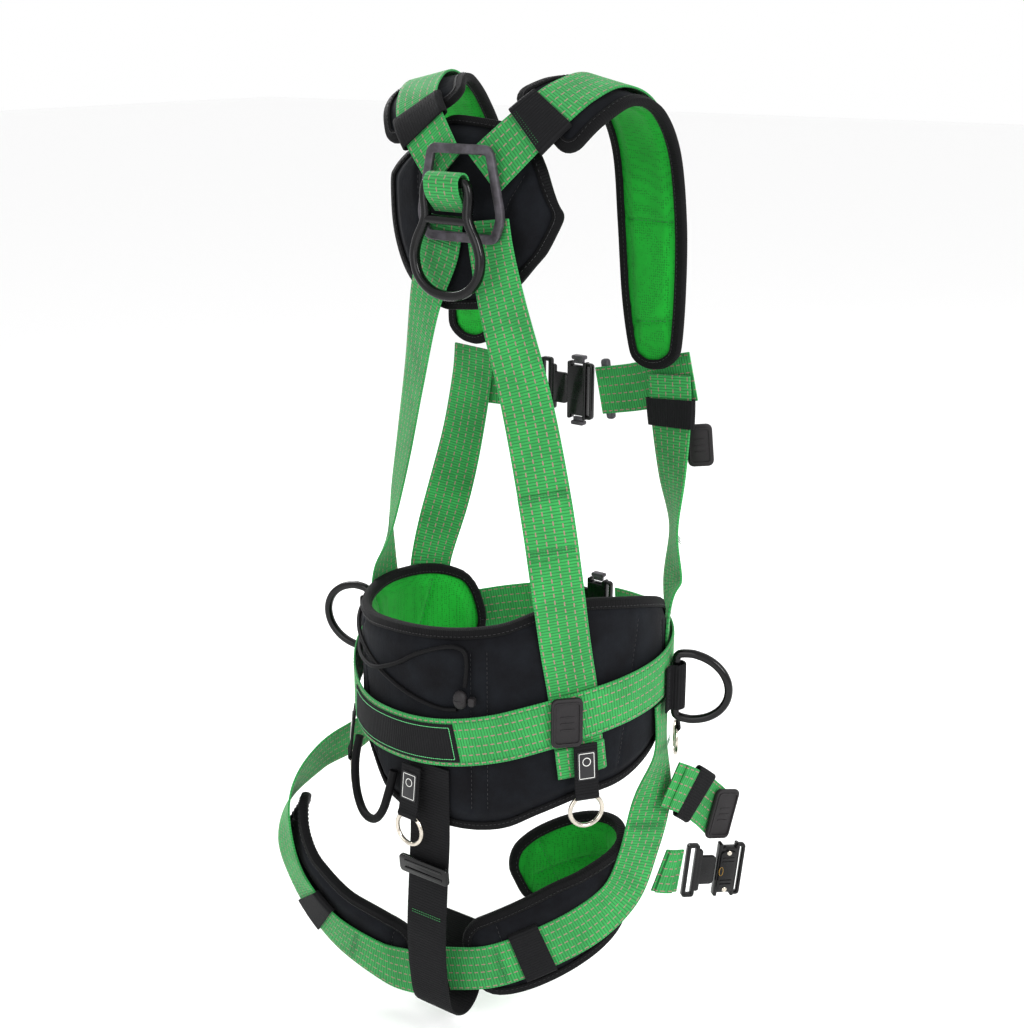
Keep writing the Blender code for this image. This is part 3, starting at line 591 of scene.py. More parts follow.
def blotches(tree, low, high, size, share=0.5):
    """Two colours mixed by soft noise on object coordinates, size metres across."""
    place = add(tree, "TexCoord", {}).outputs["Object"]
    noise = add(tree, "TexNoise", {"Vector": place, "Scale": 1 / size, "Detail": 4.0,
                                   "Roughness": 0.6})
    ramp = add(tree, "ValToRGB", {0: noise.outputs[0]})
    ramp.color_ramp.elements[0].position = share - 0.2
    ramp.color_ramp.elements[1].position = share + 0.2
    ramp.color_ramp.elements[0].color = low
    ramp.color_ramp.elements[1].color = high
    return ramp.outputs[0], noise.outputs[0]


def shaded(colour, factor):
    return (*[c * factor for c in colour[:3]], 1)


def webbing_material(name, base, tracer=None, rib=RIB):
    """Woven polyester webbing: matt ribs across it with painted shade between them, a soft sheen, and
    tracer yarns as dashes.
    """
    made, tree, shader = start_material(name, 0.66, sheen=0.12 if tracer else 0.02)
    shader.inputs["Specular IOR Level"].default_value = 0.30 if tracer else 0.18
    across, along = cloth_uv(tree)
    phase = add(tree, "Math", {0: along, 1: math.pi / rib}, operation="MULTIPLY")
    ribs = add(tree, "Math", {0: phase.outputs[0]}, operation="SINE")
    ribs = add(tree, "Math", {0: ribs.outputs[0]}, operation="ABSOLUTE")
    yarns = weave(tree, across, along, 0.0016, rib, 0.35)
    worn, noise = blotches(tree, shaded(base, 0.80), shaded(base, 1.15), 0.030)
    # Painted shade: the grooves between the ribs get a darker copy of the green, the rib crests the
    # plain colour.
    deep = add(tree, "Mix", {0: 0.0, 6: shaded(base, 0.42), 7: worn}, data_type="RGBA")
    lift = add(tree, "MapRange", {0: ribs.outputs[0], 1: 0.0, 2: 0.75, 3: 0.15, 4: 1.0})
    tree.links.new(lift.outputs[0], deep.inputs[0])
    colour = deep.outputs[2]
    if tracer:
        cell = add(tree, "Math", {0: across, 1: 0.008}, operation="DIVIDE")
        row = add(tree, "Math", {0: cell.outputs[0]}, operation="FLOOR")
        inside = add(tree, "Math", {0: cell.outputs[0]}, operation="FRACT")
        near = add(tree, "Math", {0: inside.outputs[0], 1: 0.5, 2: 0.07}, operation="COMPARE")
        shift = add(tree, "Math", {0: row.outputs[0], 1: 0.0027}, operation="MULTIPLY")
        run = add(tree, "Math", {0: along, 1: shift.outputs[0]}, operation="ADD")
        step = add(tree, "Math", {0: run.outputs[0], 1: 0.0064}, operation="DIVIDE")
        dash = add(tree, "Math", {0: step.outputs[0]}, operation="FRACT")
        on = add(tree, "Math", {0: dash.outputs[0], 1: 0.60}, operation="LESS_THAN")
        mask = add(tree, "Math", {0: near.outputs[0], 1: on.outputs[0]}, operation="MULTIPLY")
        dashed = add(tree, "Mix", {0: mask.outputs[0], 6: colour, 7: tracer}, data_type="RGBA")
        colour = dashed.outputs[2]
    tree.links.new(colour, shader.inputs["Base Color"])
    height = add(tree, "Mix", {0: 0.45, 2: ribs.outputs[0], 3: yarns})
    bump(tree, shader, height.outputs[0], 0.9, 0.0005)
    return made


def knit_material(name, base):
    """Knitted air mesh: small round holes between glossy loops, with painted shade in the holes."""
    made, tree, shader = start_material(name, 0.74, sheen=0.15)
    shader.inputs["Specular IOR Level"].default_value = 0.25
    place = add(tree, "TexCoord", {}).outputs["Object"]
    cells = add(tree, "TexVoronoi", {"Vector": place, "Scale": 1 / 0.0022, "Randomness": 0.35})
    holes = add(tree, "MapRange", {0: cells.outputs[0], 1: 0.10, 2: 0.42, 3: 0.0, 4: 1.0})
    worn, noise = blotches(tree, shaded(base, 0.78), shaded(base, 1.15), 0.05)
    # Painted shade: the holes get a darker copy of the lining colour, the loops the plain colour.
    mixed = add(tree, "Mix", {0: holes.outputs[0], 6: shaded(base, 0.40), 7: worn}, data_type="RGBA")
    tree.links.new(mixed.outputs[2], shader.inputs["Base Color"])
    bump(tree, shader, holes.outputs[0], 0.45, 0.0004)
    return made


def pad_cloth_material(name, base, lit):
    """Woven nylon pad cover: matt black, fine weave, paler where it is rubbed."""
    made, tree, shader = start_material(name, 0.84, sheen=0.04)
    shader.inputs["Specular IOR Level"].default_value = 0.16
    place = add(tree, "TexCoord", {}).outputs["Object"]
    cells = add(tree, "TexVoronoi", {"Vector": place, "Scale": 1 / 0.0013, "Randomness": 0.4})
    worn, noise = blotches(tree, base, lit, 0.035, 0.52)
    tree.links.new(worn, shader.inputs["Base Color"])
    fuzz = add(tree, "TexNoise", {"Vector": place, "Scale": 1 / 0.004, "Detail": 6.0})
    height = add(tree, "Mix", {0: 0.5, 2: cells.outputs[0], 3: fuzz.outputs[0]})
    bump(tree, shader, height.outputs[0], 0.55, 0.0006)
    return made


def coated_metal_material(name, base, worn, roughness, coat, metallic=0.0):
    """Powder-coated forged alloy: a gloss coat with a faint orange peel and scuffs."""
    made, tree, shader = start_material(name, roughness, metallic=metallic, coat=coat)
    shader.inputs["Specular IOR Level"].default_value = 0.3
    mixed, noise = blotches(tree, linear(base), linear(worn), 0.012, 0.62)
    tree.links.new(mixed, shader.inputs["Base Color"])
    place = add(tree, "TexCoord", {}).outputs["Object"]
    peel = add(tree, "TexNoise", {"Vector": place, "Scale": 1 / 0.0016, "Detail": 2.0})
    bump(tree, shader, peel.outputs[0], 0.10, 0.0002)
    rough = add(tree, "MapRange", {0: noise, 1: 0.3, 2: 0.7, 3: roughness * 0.8, 4: roughness * 1.3})
    tree.links.new(rough.outputs[0], shader.inputs["Roughness"])
    return made


def polished_metal_material(name, base, roughness):
    """Plated or bare metal: a clear shine with fine drawn scratches."""
    made, tree, shader = start_material(name, roughness, metallic=1.0)
    mixed, noise = blotches(tree, linear(base), shaded(linear(base), 0.72), 0.006, 0.6)
    tree.links.new(mixed, shader.inputs["Base Color"])
    place = add(tree, "TexCoord", {}).outputs["Object"]
    drawn = add(tree, "TexNoise", {"Vector": place, "Scale": 1 / 0.0008, "Detail": 3.0})
    bump(tree, shader, drawn.outputs[0], 0.08, 0.0001)
    return made


def rubber_material(name, base):
    """Moulded rubber: matt with a fine spark-eroded grain."""
    made, tree, shader = start_material(name, 0.62)
    mixed, noise = blotches(tree, linear(base), shaded(linear(base), 1.35), 0.010)
    tree.links.new(mixed, shader.inputs["Base Color"])
    place = add(tree, "TexCoord", {}).outputs["Object"]
    grain = add(tree, "TexNoise", {"Vector": place, "Scale": 1 / 0.0007, "Detail": 2.0})
    bump(tree, shader, grain.outputs[0], 0.35, 0.0003)
    return made


def thread_material(name, base):
    """Twisted polyester sewing thread: a low gloss with fine slanted plies."""
    made, tree, shader = start_material(name, 0.55, sheen=0.2)
    mixed, noise = blotches(tree, linear(base), shaded(linear(base), 1.25), 0.004)
    tree.links.new(mixed, shader.inputs["Base Color"])
    place = add(tree, "TexCoord", {}).outputs["Object"]
    plies = add(tree, "TexNoise", {"Vector": place, "Scale": 1 / 0.0005, "Detail": 1.0})
    bump(tree, shader, plies.outputs[0], 0.3, 0.0001)
    return made


def braid_material(name, base):
    """Braided elastic cord: crossing yarns that give a fine diamond relief."""
    made, tree, shader = start_material(name, 0.60)
    shader.inputs["Specular IOR Level"].default_value = 0.2
    place = add(tree, "TexCoord", {}).outputs["Object"]
    cells = add(tree, "TexVoronoi", {"Vector": place, "Scale": 1 / 0.0011, "Randomness": 0.15})
    mixed = add(tree, "Mix", {0: cells.outputs[0], 6: shaded(linear(base), 1.8), 7: linear(base)},
                data_type="RGBA")
    tree.links.new(mixed.outputs[2], shader.inputs["Base Color"])
    bump(tree, shader, cells.outputs[0], 0.5, 0.0004)
    return made


def make_materials(colours):
    green = (*colours.webbing, 1)
    return {
        "webbing": webbing_material("woven_polyester_webbing", green, (*colours.tracer, 1)),
        "black_web": webbing_material("black_woven_webbing", linear("1A1A1C")),
        "binding": webbing_material("grosgrain_binding", linear("101012"), rib=0.0018),
        "lining": knit_material("knitted_mesh_lining", (*colours.lining, 1)),
        "cover": pad_cloth_material("woven_nylon_cover", linear("101014"), linear("1C1F24")),
        "gloss": coated_metal_material("black_coated_alloy", "060607", "101012", 0.24, 0.25),
        "grey": coated_metal_material("grey_coated_alloy", "4A474B", "6A676E", 0.36, 0.20, 0.5),
        "nickel": polished_metal_material("nickel_plated_wire", "CFC8BD", 0.16),
        "brass": polished_metal_material("brass_spring", "B08D4A", 0.28),
        "rubber": rubber_material("moulded_rubber", "1C191B"),
        "cord": braid_material("braided_elastic", "09090B"),
        "green_thread": thread_material("green_sewing_thread", "1B6A35"),
        "black_thread": thread_material("black_sewing_thread", "1A1A1D"),
        "pale_thread": thread_material("white_woven_mark", "C9C9C6"),
        "mint_thread": thread_material("mint_woven_mark", "58B273"),
    }


# Making pieces

FINISHES = {}


def finish(name):
    if not FINISHES:
        FINISHES.update(make_materials(bpy.context.scene.harness_colours))
    return FINISHES[name]


def put(name, bm, finish_name, body="root", nodes=(), thickness=0.0, edge=0.0):
    """Turn a bmesh into a finished piece that rides on a body and stands for CAD nodes."""
    mesh = bpy.data.meshes.new(name)
    bm.to_mesh(mesh)
    bm.free()
    mesh.materials.append(finish(finish_name))
    made = bpy.data.objects.new(name, mesh)
    bpy.context.scene.collection.objects.link(made)
    mesh.shade_smooth()
    mesh.set_sharp_from_angle(angle=math.radians(40))
    if thickness:
        shell = made.modifiers.new("thickness", "SOLIDIFY")
        shell.thickness = thickness
        shell.offset = 0
        shell.use_even_offset = False
    if edge:
        soft = made.modifiers.new("edge", "BEVEL")
        soft.width = edge
        soft.segments = 2
        soft.limit_method = "ANGLE"
        soft.angle_limit = math.radians(55)
    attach(made, body)
    if nodes:
        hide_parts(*nodes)
    return made


def mapped_grid(columns, rows, place, cloth_map=None, closed=False):
    """A grid bent by place(across, along), each from 0 to 1, and merged where it meets itself."""
    bm = bmesh.new()
    bmesh.ops.create_grid(bm, x_segments=columns, y_segments=rows, size=0.5)
    spots = {vert: (vert.co.x + 0.5, vert.co.y + 0.5) for vert in bm.verts}
    if cloth_map:
        layer = bm.loops.layers.uv.new("cloth")
        for face in bm.faces:
            for loop in face.loops:
                loop[layer].uv = cloth_map(*spots[loop.vert])
    for vert, spot in spots.items():
        vert.co = place(*spot)
    if closed:
        bmesh.ops.remove_doubles(bm, verts=bm.verts, dist=1e-6)
        bmesh.ops.recalc_face_normals(bm, faces=bm.faces)
    return bm


def cloth(name, strip, finish_name, ends=None, sides=None, lift=0.0, thickness=WEB_THICK,
          pitch=0.004, columns=6, ribbed=False, nodes=()):
    """Cloth laid on a strip: ends along it, sides as shares of its half width."""
    start, stop = ends or (0, strip.length)
    low, high = sides or (-1, 1)
    if ribbed:
        pitch = RIB / 2
    rows = max(2, round((stop - start) / pitch))
    height = bpy.context.scene.harness_sizes.rib if ribbed else 0

    def spot(u, v):
        s = start + (stop - start) * v
        return s, (low + (high - low) * u) * strip.half(s)

    def place(u, v):
        s, x = spot(u, v)
        crest = height if round(v * rows) % 2 else -height
        inside = 0.02 < u < 0.98
        return strip.spot(s, x, lift + crest * inside)[0]

    bm = mapped_grid(columns, rows, place, lambda u, v: spot(u, v)[::-1])
    return put(name, bm, finish_name, nodes=nodes, thickness=thickness,
               edge=min(0.0006, thickness * 0.3))


def stadium(half, high, share):
    """A point of a flat loop's section: two flats joined by round ends."""
    flat, arc = 2 * half, math.pi * high
    run = share * 2 * (flat + arc)
    if run < flat:
        return half - run, high
    run -= flat
    if run < arc:
        turn = math.pi / 2 + run / high
        return -half + high * math.cos(turn), high * math.sin(turn)
    run -= arc
    if run < flat:
        return -half + run, -high
    turn = -math.pi / 2 + (run - flat) / high
    return half + high * math.cos(turn), high * math.sin(turn)


def keeper(name, strip, s, wide, high=0.0030, slack=0.0006):
    """A loop sewn round a strap at distance s."""
    half = strip.half(s) + slack
    girth = 2 * (2 * half + math.pi * high)

    def place(u, v):
        x, h = stadium(half, high, v)
        return strip.spot(s + (u - 0.5) * wide, x, h)[0]

    bm = mapped_grid(4, 56, place, lambda u, v: ((u - 0.5) * wide, v * girth), closed=True)
    return put(name, bm, "black_web", thickness=0.0016, edge=0.0004)


LOT = 40                    # stitches made in one small bmesh, which keeps the making quick


def sewn_path(locate, path, pitch=0.0042, long=0.0030, wide=0.0008):
    """A matrix for each stitch along a path of s, x points; locate gives places on the piece."""
    size = Matrix.Diagonal((long / 2, wide / 2, 0.00035, 1))
    found = []
    for (s_a, x_a), (s_b, x_b) in zip(path, path[1:]):
        reach = math.hypot(s_b - s_a, x_b - x_a)
        count = max(1, round(reach / pitch))
        for number in range(count):
            share = (number + 0.5) / count
            s, x = s_a + (s_b - s_a) * share, x_a + (x_b - x_a) * share
            place, outward = locate(s, x)
            ahead = locate(s + (s_b - s_a) / reach * 0.001, x + (x_b - x_a) / reach * 0.001)[0]
            if (ahead - place).length > 1e-5:
                found.append(axes_at(place, ahead - place, outward) @ size)
    return found


def strewn(places):
    """One bmesh with a grain of thread at each matrix."""
    shapes = []
    for start in range(0, len(places), LOT):
        lot = bmesh.new()
        for place in places[start:start + LOT]:
            bmesh.ops.create_uvsphere(lot, u_segments=6, v_segments=4, radius=1, matrix=place)
        shapes.append((lot, Matrix.Identity(4)))
    return joined(*shapes)


def on_top(strip, lift):
    """Finds the place and outward axis at a height above a strip."""
    def locate(s, x):
        place, along, outward = strip.spot(s, x, lift)
        return place, outward
    return locate


def stitching(name, strip, paths, finish_name="green_thread", lift=WEB_THICK / 2 + RIB_HIGH,
              locate=None, **kind):
    places = []
    for path in paths:
        places += sewn_path(locate or on_top(strip, lift), path, **kind)
    return put(name, strewn(places), finish_name)


def bar_tack(s, x, high, rows=3, gap=0.0022):
    """Paths of a bar tack that crosses a strap: close rows of stitches."""
    return [((s + gap * row, x - high / 2), (s + gap * row, x + high / 2)) for row in range(rows)]


def box_x(s_a, s_b, half):
    """Paths of a sewn box with a cross in it."""
    corners = [(s_a, -half), (s_b, -half), (s_b, half), (s_a, half), (s_a, -half)]
    return [tuple(corners), ((s_a, -half), (s_b, half)), ((s_a, half), (s_b, -half))]


def joined(*shapes):
    """One bmesh out of several, each with the matrix that puts it in place."""
    whole = bmesh.new()
    for bm, matrix in shapes:
        spare = bpy.data.meshes.new("spare")
        bm.to_mesh(spare)
        bm.free()
        spare.transform(matrix)
        whole.from_mesh(spare)
        bpy.data.meshes.remove(spare)
    return whole


def slab(size, corner, high, edge=0.0008, rim=0.0, steps=4):
    """A rounded plate centred on the origin; rim leaves an opening inside a border that wide."""
    bm = bmesh.new()
    bmesh.ops.create_grid(bm, x_segments=1, y_segments=1, size=0.5)
    bmesh.ops.scale(bm, vec=(size[0], size[1], 1), verts=bm.verts)
    bmesh.ops.bevel(bm, geom=bm.verts[:], offset=corner, offset_type="OFFSET", segments=steps,
                    profile=0.5, affect="VERTICES", material=-1)
    if rim:
        inner = bm.faces[:]
        bmesh.ops.inset_region(bm, faces=inner, thickness=rim, use_even_offset=True,
                               use_boundary=True)
        bmesh.ops.delete(bm, geom=inner, context="FACES_ONLY")
    grown = bmesh.ops.extrude_face_region(bm, geom=bm.faces[:])["geom"]
    lifted = [item for item in grown if isinstance(item, bmesh.types.BMVert)]
    bmesh.ops.translate(bm, verts=lifted, vec=(0, 0, high))
    bmesh.ops.translate(bm, verts=bm.verts, vec=(0, 0, -high / 2))
    bmesh.ops.recalc_face_normals(bm, faces=bm.faces)
    sharp = [e for e in bm.edges if e.calc_face_angle(0) > math.radians(60)]
    bmesh.ops.bevel(bm, geom=sharp, offset=edge, offset_type="OFFSET", segments=2, profile=0.5,
                    affect="EDGES", material=-1, clamp_overlap=True)
    return bm


def swept_loop(path, wide, high, around_it=12, squareness=1.0):
    """A closed bar along a flat path, wide in its plane and high across it."""
    count = len(path)
    points = [Vector((x, y, 0)) for x, y in path]

    def place(u, v):
        index = round(v * count) % count
        ahead = points[(index + 1) % count] - points[index - 1]
        out = Vector((ahead.y, -ahead.x, 0)).normalized()
        turn = math.tau * u
        c, s = math.cos(turn), math.sin(turn)
        c = math.copysign(abs(c) ** squareness, c)
        s = math.copysign(abs(s) ** squareness, s)
        return points[index] + out * (c * wide / 2) + RISE * (s * high / 2)

    return mapped_grid(around_it, count, place, closed=True)


def rod(length, radius, sides=16):
    """A round bar along X, centred on the origin."""
    bm = bmesh.new()
    bmesh.ops.create_cone(bm, cap_ends=True, segments=sides, radius1=radius, radius2=radius,
                          depth=length)
    bmesh.ops.rotate(bm, verts=bm.verts, matrix=Matrix.Rotation(math.pi / 2, 3, "Y"))
    return bm


def rivet(radius, high):
    """A rounded rivet head centred on the XY plane."""
    bm = bmesh.new()
    bmesh.ops.create_uvsphere(bm, u_segments=16, v_segments=8, radius=1)
    bmesh.ops.scale(bm, vec=(radius, radius, high), verts=bm.verts)
    return bm


def cord_piece(name, points, radius, finish_name, nodes=(), steps=2):
    """A round cord along a smooth curve through its points."""
    curve = bpy.data.curves.new(name, "CURVE")
    curve.dimensions = "3D"
    curve.bevel_depth = radius
    curve.bevel_resolution = 4
    curve.use_fill_caps = True
    spline = curve.splines.new("POLY")
    fine = smooth_rows(points, steps)
    spline.points.add(len(fine) - 1)
    for knot, point in zip(spline.points, fine):
        knot.co = (*point, 1)
    curve.materials.append(finish(finish_name))
    made = bpy.data.objects.new(name, curve)
    bpy.context.scene.collection.objects.link(made)
    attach(made, "root")
    if nodes:
        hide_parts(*nodes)
    return made


# Padded pieces


def half_at(strip, s, corner):
    """Half a pad's width at s, with its corners rounded."""
    near = max(min(s, strip.length - s), 0)
    cut = corner - math.sqrt(max(corner ** 2 - (corner - near) ** 2, 0)) if near < corner else 0
    return max(strip.half(s) - cut, 0.001)


def outline(strip, corner, pitch=0.004):
    """Points s, x round a pad's edge, from its first corner along its +x side."""
    length = strip.length
    count = max(4, round((length - 2 * corner) / pitch))
    side = [corner + (length - 2 * corner) * n / count for n in range(count + 1)]
    bend = [length - corner * (1 - math.sin(math.radians(15 * n))) for n in range(1, 6)]
    far = strip.half(length) - corner
    near = strip.half(0) - corner
    cross = max(2, round(2 * far / pitch))
    first = side + bend
    points = [(s, half_at(strip, s, corner)) for s in first]
    points += [(length, far - 2 * far * n / cross) for n in range(cross + 1)]
    points += [(s, -half_at(strip, s, corner)) for s in reversed(first)]
    start = [corner * (1 - math.sin(math.radians(15 * n))) for n in range(1, 6)]
    points += [(s, -half_at(strip, s, corner)) for s in start]
    cross = max(2, round(2 * near / pitch))
    points += [(0, -near + 2 * near * n / cross) for n in range(cross + 1)]
    points += [(s, half_at(strip, s, corner)) for s in reversed(start)]
    return points


def binding(name, strip, corner, high, wide=BINDING_WIDE):
    """A folded tape round a pad's edge."""
    rim = outline(strip, corner)
    count = len(rim)
    section = [(-wide, high + 0.0002), (-wide * 0.6, high + 0.0004), (-0.001, high)]
    section += [(high * 0.55 * math.cos(math.radians(a)), high * math.sin(math.radians(a)))
                for a in (60, 30, 0, -30, -60)]
    section += [(-0.001, -high), (-wide * 0.6, -high - 0.0004), (-wide, -high - 0.0002)]
    steps = len(section) - 1
    girth = 2 * wide + math.pi * high

    def place(u, v):
        index = round(v * count) % count
        (s_a, x_a), (s_b, x_b) = rim[index - 1], rim[(index + 1) % count]
        reach = max(math.hypot(s_b - s_a, x_b - x_a), 1e-6)
        out_s, out_x = -(x_b - x_a) / reach, (s_b - s_a) / reach
        in_by, h = section[round(u * steps)]
        s, x = rim[index]
        return strip.spot(s + out_s * in_by, x + out_x * in_by, h)[0]

    bm = mapped_grid(steps, count, place, lambda u, v: (u * girth, v * count * 0.004))
    bmesh.ops.remove_doubles(bm, verts=bm.verts, dist=1e-6)
    bmesh.ops.recalc_face_normals(bm, faces=bm.faces)
    return put(name, bm, "binding", thickness=0.0009)


FILL_FRAMES = 20            # steps for which a cushion is blown up


class Pad:
    """A pad being made: its strip, its thickness, its seams, and the node that it stands for."""

    def __init__(self, name, thick, corner, seams):
        self.name, self.thick, self.corner = name, thick, corner
        self.strip, self.seams = STRIPS[name], seams
        self.piece = None
        self.tree = None

    def start(self, voxel):
        """A closed, slightly small cushion, rebuilt as even cells."""
        strip, inset = self.strip, 0.0022
        rows = round(strip.length / 0.008)
        columns = 12

        def place(u, v):
            s = inset + (strip.length - 2 * inset) * v
            x = (2 * u - 1) * (half_at(strip, s, self.corner) - inset)
            return strip.spot(s, x)[0]

        bm = mapped_grid(columns, rows, place)
        mesh = bpy.data.meshes.new(self.name + "_cushion")
        bm.to_mesh(mesh)
        bm.free()
        self.piece = bpy.data.objects.new(self.name + "_cushion", mesh)
        bpy.context.scene.collection.objects.link(self.piece)
        shell = self.piece.modifiers.new("shell", "SOLIDIFY")
        shell.thickness = self.thick - 0.0012
        shell.offset = 0
        cells = self.piece.modifiers.new("cells", "REMESH")
        cells.mode = "VOXEL"
        cells.voxel_size = voxel
        self.take_shape()

    def take_shape(self):
        """Apply the piece's modifiers."""
        graph = bpy.context.evaluated_depsgraph_get()
        shaped = bpy.data.meshes.new_from_object(self.piece.evaluated_get(graph))
        self.piece.modifiers.clear()
        self.piece.data = shaped

    def inflate(self):
        soft = self.piece.modifiers.new("filling", "CLOTH")
        soft.settings.use_pressure = True
        soft.settings.uniform_pressure_force = 4
        soft.settings.effector_weights.gravity = 0
        soft.settings.quality = 4
        soft.collision_settings.use_self_collision = False
        soft.collision_settings.use_collision = False

    def settle(self, rest, swell):
        """Apply the filling, and hold back any point that moved further than the cap."""
        self.take_shape()
        for vert, before in zip(self.piece.data.vertices, rest):
            moved = vert.co - before
            if moved.length > swell:
                vert.co = before + moved * (swell / moved.length)

    def locate_all(self):
        """Each vertex's distance along, across and out from the strip."""
        strip = self.strip
        spots = []
        for i in range(round(strip.length / 0.003) + 1):
            s = min(i * 0.003, strip.length)
            wide = strip.half(s)
            steps = max(2, round(2 * wide / 0.004))
            spots += [(s, -wide + 2 * wide * j / steps) for j in range(steps + 1)]
        tree = kdtree.KDTree(len(spots))
        for index, spot in enumerate(spots):
            tree.insert(strip.spot(*spot)[0], index)
        tree.balance()
        found = []
        for vert in self.piece.data.vertices:
            near, index, gap = tree.find(vert.co)
            s, x = spots[index]
            place, along, outward = strip.spot(s, x)
            away = vert.co - place
            found.append([s + away.dot(along), x + away.dot(along.cross(outward)),
                          away.dot(outward)])
        return found

    def sink(self, s, x):
        """How far the seams pull the face in at a point."""
        deep = 0.0
        for path in self.seams:
            for (s_a, x_a), (s_b, x_b) in zip(path, path[1:]):
                run = Vector((s_b - s_a, x_b - x_a))
                gone = Vector((s - s_a, x - x_a))
                share = min(max(gone.dot(run) / max(run.length_squared, 1e-9), 0), 1)
                gap = (gone - run * share).length
                deep = max(deep, math.exp(-(gap / 0.0030) ** 2))
        return deep

    def finish_shape(self):
        """Add one subdivision, pinch the edges under the tape and pull the seams in."""
        fine = self.piece.modifiers.new("fine", "SUBSURF")
        fine.levels = fine.render_levels = 1
        self.take_shape()
        most = self.thick / 2
        thin = most - 0.0012
        mesh = self.piece.data
        for vert, (s, x, out) in zip(mesh.vertices, self.locate_all()):
            edge = min(half_at(self.strip, s, self.corner) - abs(x), s, self.strip.length - s)
            share = min(max((edge - BINDING_WIDE) / 0.012, 0), 1)
            limit = thin - 0.0009 + (most + 0.0022 - thin) * share * share * (3 - 2 * share)
            limit -= 0.0019 * self.sink(s, x)
            out = math.copysign(min(abs(out), limit), out)
            vert.co = self.strip.spot(s, x, out)[0]
        mesh.materials.append(finish("cover"))
        mesh.materials.append(finish("lining"))
        inward = [self.strip.spot(s, x)[2] for s, x, out in self.locate_all()]
        for face in mesh.polygons:
            facing = sum((inward[i] for i in face.vertices), Vector()).dot(face.normal)
            face.material_index = 1 if facing < 0 else 0
        mesh.shade_smooth()
        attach(self.piece, "root")
        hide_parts(self.name)

    def locate(self, sign):
        """Finds the face's height at a point, on the outer or inner face."""
        tree = self.faces()

        def find(s, x):
            place, along, outward = self.strip.spot(s, x, sign * 0.03)
            hit, normal, index, gap = tree.ray_cast(place, -outward * sign, 0.06)
            if hit is None:
                hit = self.strip.spot(s, x, sign * self.thick / 2)[0]
            return hit + outward * (sign * 0.0002), outward * sign
        return find

    def faces(self):
        if self.tree is None:
            self.tree = BVHTree.FromPolygons([v.co for v in self.piece.data.vertices],
                                             [p.vertices[:] for p in self.piece.data.polygons])
        return self.tree


def inside_edge(strip, corner, inset):
    """A closed path just inside a pad's edge."""
    rim = outline(strip, corner, 0.008)
    path = []
    for index, (s, x) in enumerate(rim):
        (s_a, x_a), (s_b, x_b) = rim[index - 1], rim[(index + 1) % len(rim)]
        reach = max(math.hypot(s_b - s_a, x_b - x_a), 1e-6)
        path.append((s + (x_b - x_a) / reach * inset, x - (s_b - s_a) / reach * inset))
    return [*path, path[0]]


# The harness's own pieces, one operator for each group

WEBBING = ("shoulder_strap_right", "shoulder_strap_left", "back_strap_right", "back_strap_left",
           "front_strap_right", "front_strap_left", "chest_band_left", "chest_band_right",
           "belt_strap", "leg_strap_right", "leg_strap_left", "leg_branch_right",
           "leg_front_right")


# The camera's sensor height and focal length in millimetres, and its tilt down in degrees
SENSOR_HIGH = 36
LENS_LONG = 54.63
CAMERA_TILT = 17.5


class HARNESS_OT_stage(bpy.types.Operator):
    """Pale floor, soft studio lights, sky and camera"""
    bl_idname = "harness.stage"
    bl_label = "Stage"

    def execute(self, context):
        for old in list(bpy.data.objects):
            if old.type in {"CAMERA", "LIGHT"} or old.name == "Cube":
                bpy.data.objects.remove(old, do_unlink=True)
        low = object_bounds()[0].z - context.scene.harness_sizes.floor_drop
        bm = bmesh.new()
        bmesh.ops.create_grid(bm, x_segments=1, y_segments=1, size=14)
        bmesh.ops.translate(bm, verts=bm.verts, vec=(0, 0, low))
        mesh = bpy.data.meshes.new("studio_floor")
        bm.to_mesh(mesh)
        bm.free()
        paper, tree, shader = start_material("studio_paper", 0.85, colour="FBFBFB")
        mesh.materials.append(paper)
        floor = bpy.data.objects.new("studio_floor", mesh)
        context.scene.collection.objects.link(floor)
        floor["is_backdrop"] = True
        world = bpy.data.worlds.new("studio_sky")
        context.scene.world = world
        world.use_nodes = True
        sky = world.node_tree.nodes["Background"]
        sky.inputs[0].default_value = (1, 1, 1, 1)
        sky.inputs[1].default_value = 1.0
        context.scene.view_settings.view_transform = "Standard"
        context.scene.view_settings.gamma = 0.85
        look = Vector((0.588, -0.809, 0)).normalized()
        right = Vector((-0.809, -0.588, 0)).normalized()
        for name, ahead, aside, up, power, size in (
                ("key_light", -1.6, 1.5, 1.3, 42, 1.2), ("fill_light", -1.9, -1.5, 0.5, 16, 1.6),
                ("rim_light", 1.5, -0.9, 1.2, 26, 0.9)):
            lamp = bpy.data.lights.new(name, "AREA")
            lamp.energy = power
            lamp.size = size
            made = bpy.data.objects.new(name, lamp)
            made.location = look * ahead + right * aside + Vector((0, 0, up - 0.4))
            toward = Vector((0, 0, -0.4)) - made.location
            made.rotation_euler = toward.to_track_quat("-Z", "Y").to_euler()
            context.scene.collection.objects.link(made)
        lens = bpy.data.cameras.new("studio_camera")
        lens.sensor_fit = "VERTICAL"
        lens.sensor_height = SENSOR_HIGH
        lens.lens = LENS_LONG
        lens.clip_start = 0.05
        camera = bpy.data.objects.new("studio_camera", lens)
        tilt = math.radians(CAMERA_TILT)
        camera.location = look * -1.331 + right * 0.042 + Vector((0, 0, 0.100))
        aim = look * math.cos(tilt) - RISE * math.sin(tilt)
        camera.rotation_euler = aim.to_track_quat("-Z", "Y").to_euler()
        context.scene.collection.objects.link(camera)
        context.scene.camera = camera
        return {"FINISHED"}


class HARNESS_OT_webbing(bpy.types.Operator):
    """Ribbed green load straps with their sewn joints"""
    bl_idname = "harness.webbing"
    bl_label = "Webbing"

    def execute(self, context):
        for name in WEBBING:
            cloth(name + "_web", STRIPS[name], "webbing", columns=8, ribbed=True, nodes=(name,))
        dorsal_loop()
        webbing_ends()
        sewn_joints()
        return {"FINISHED"}


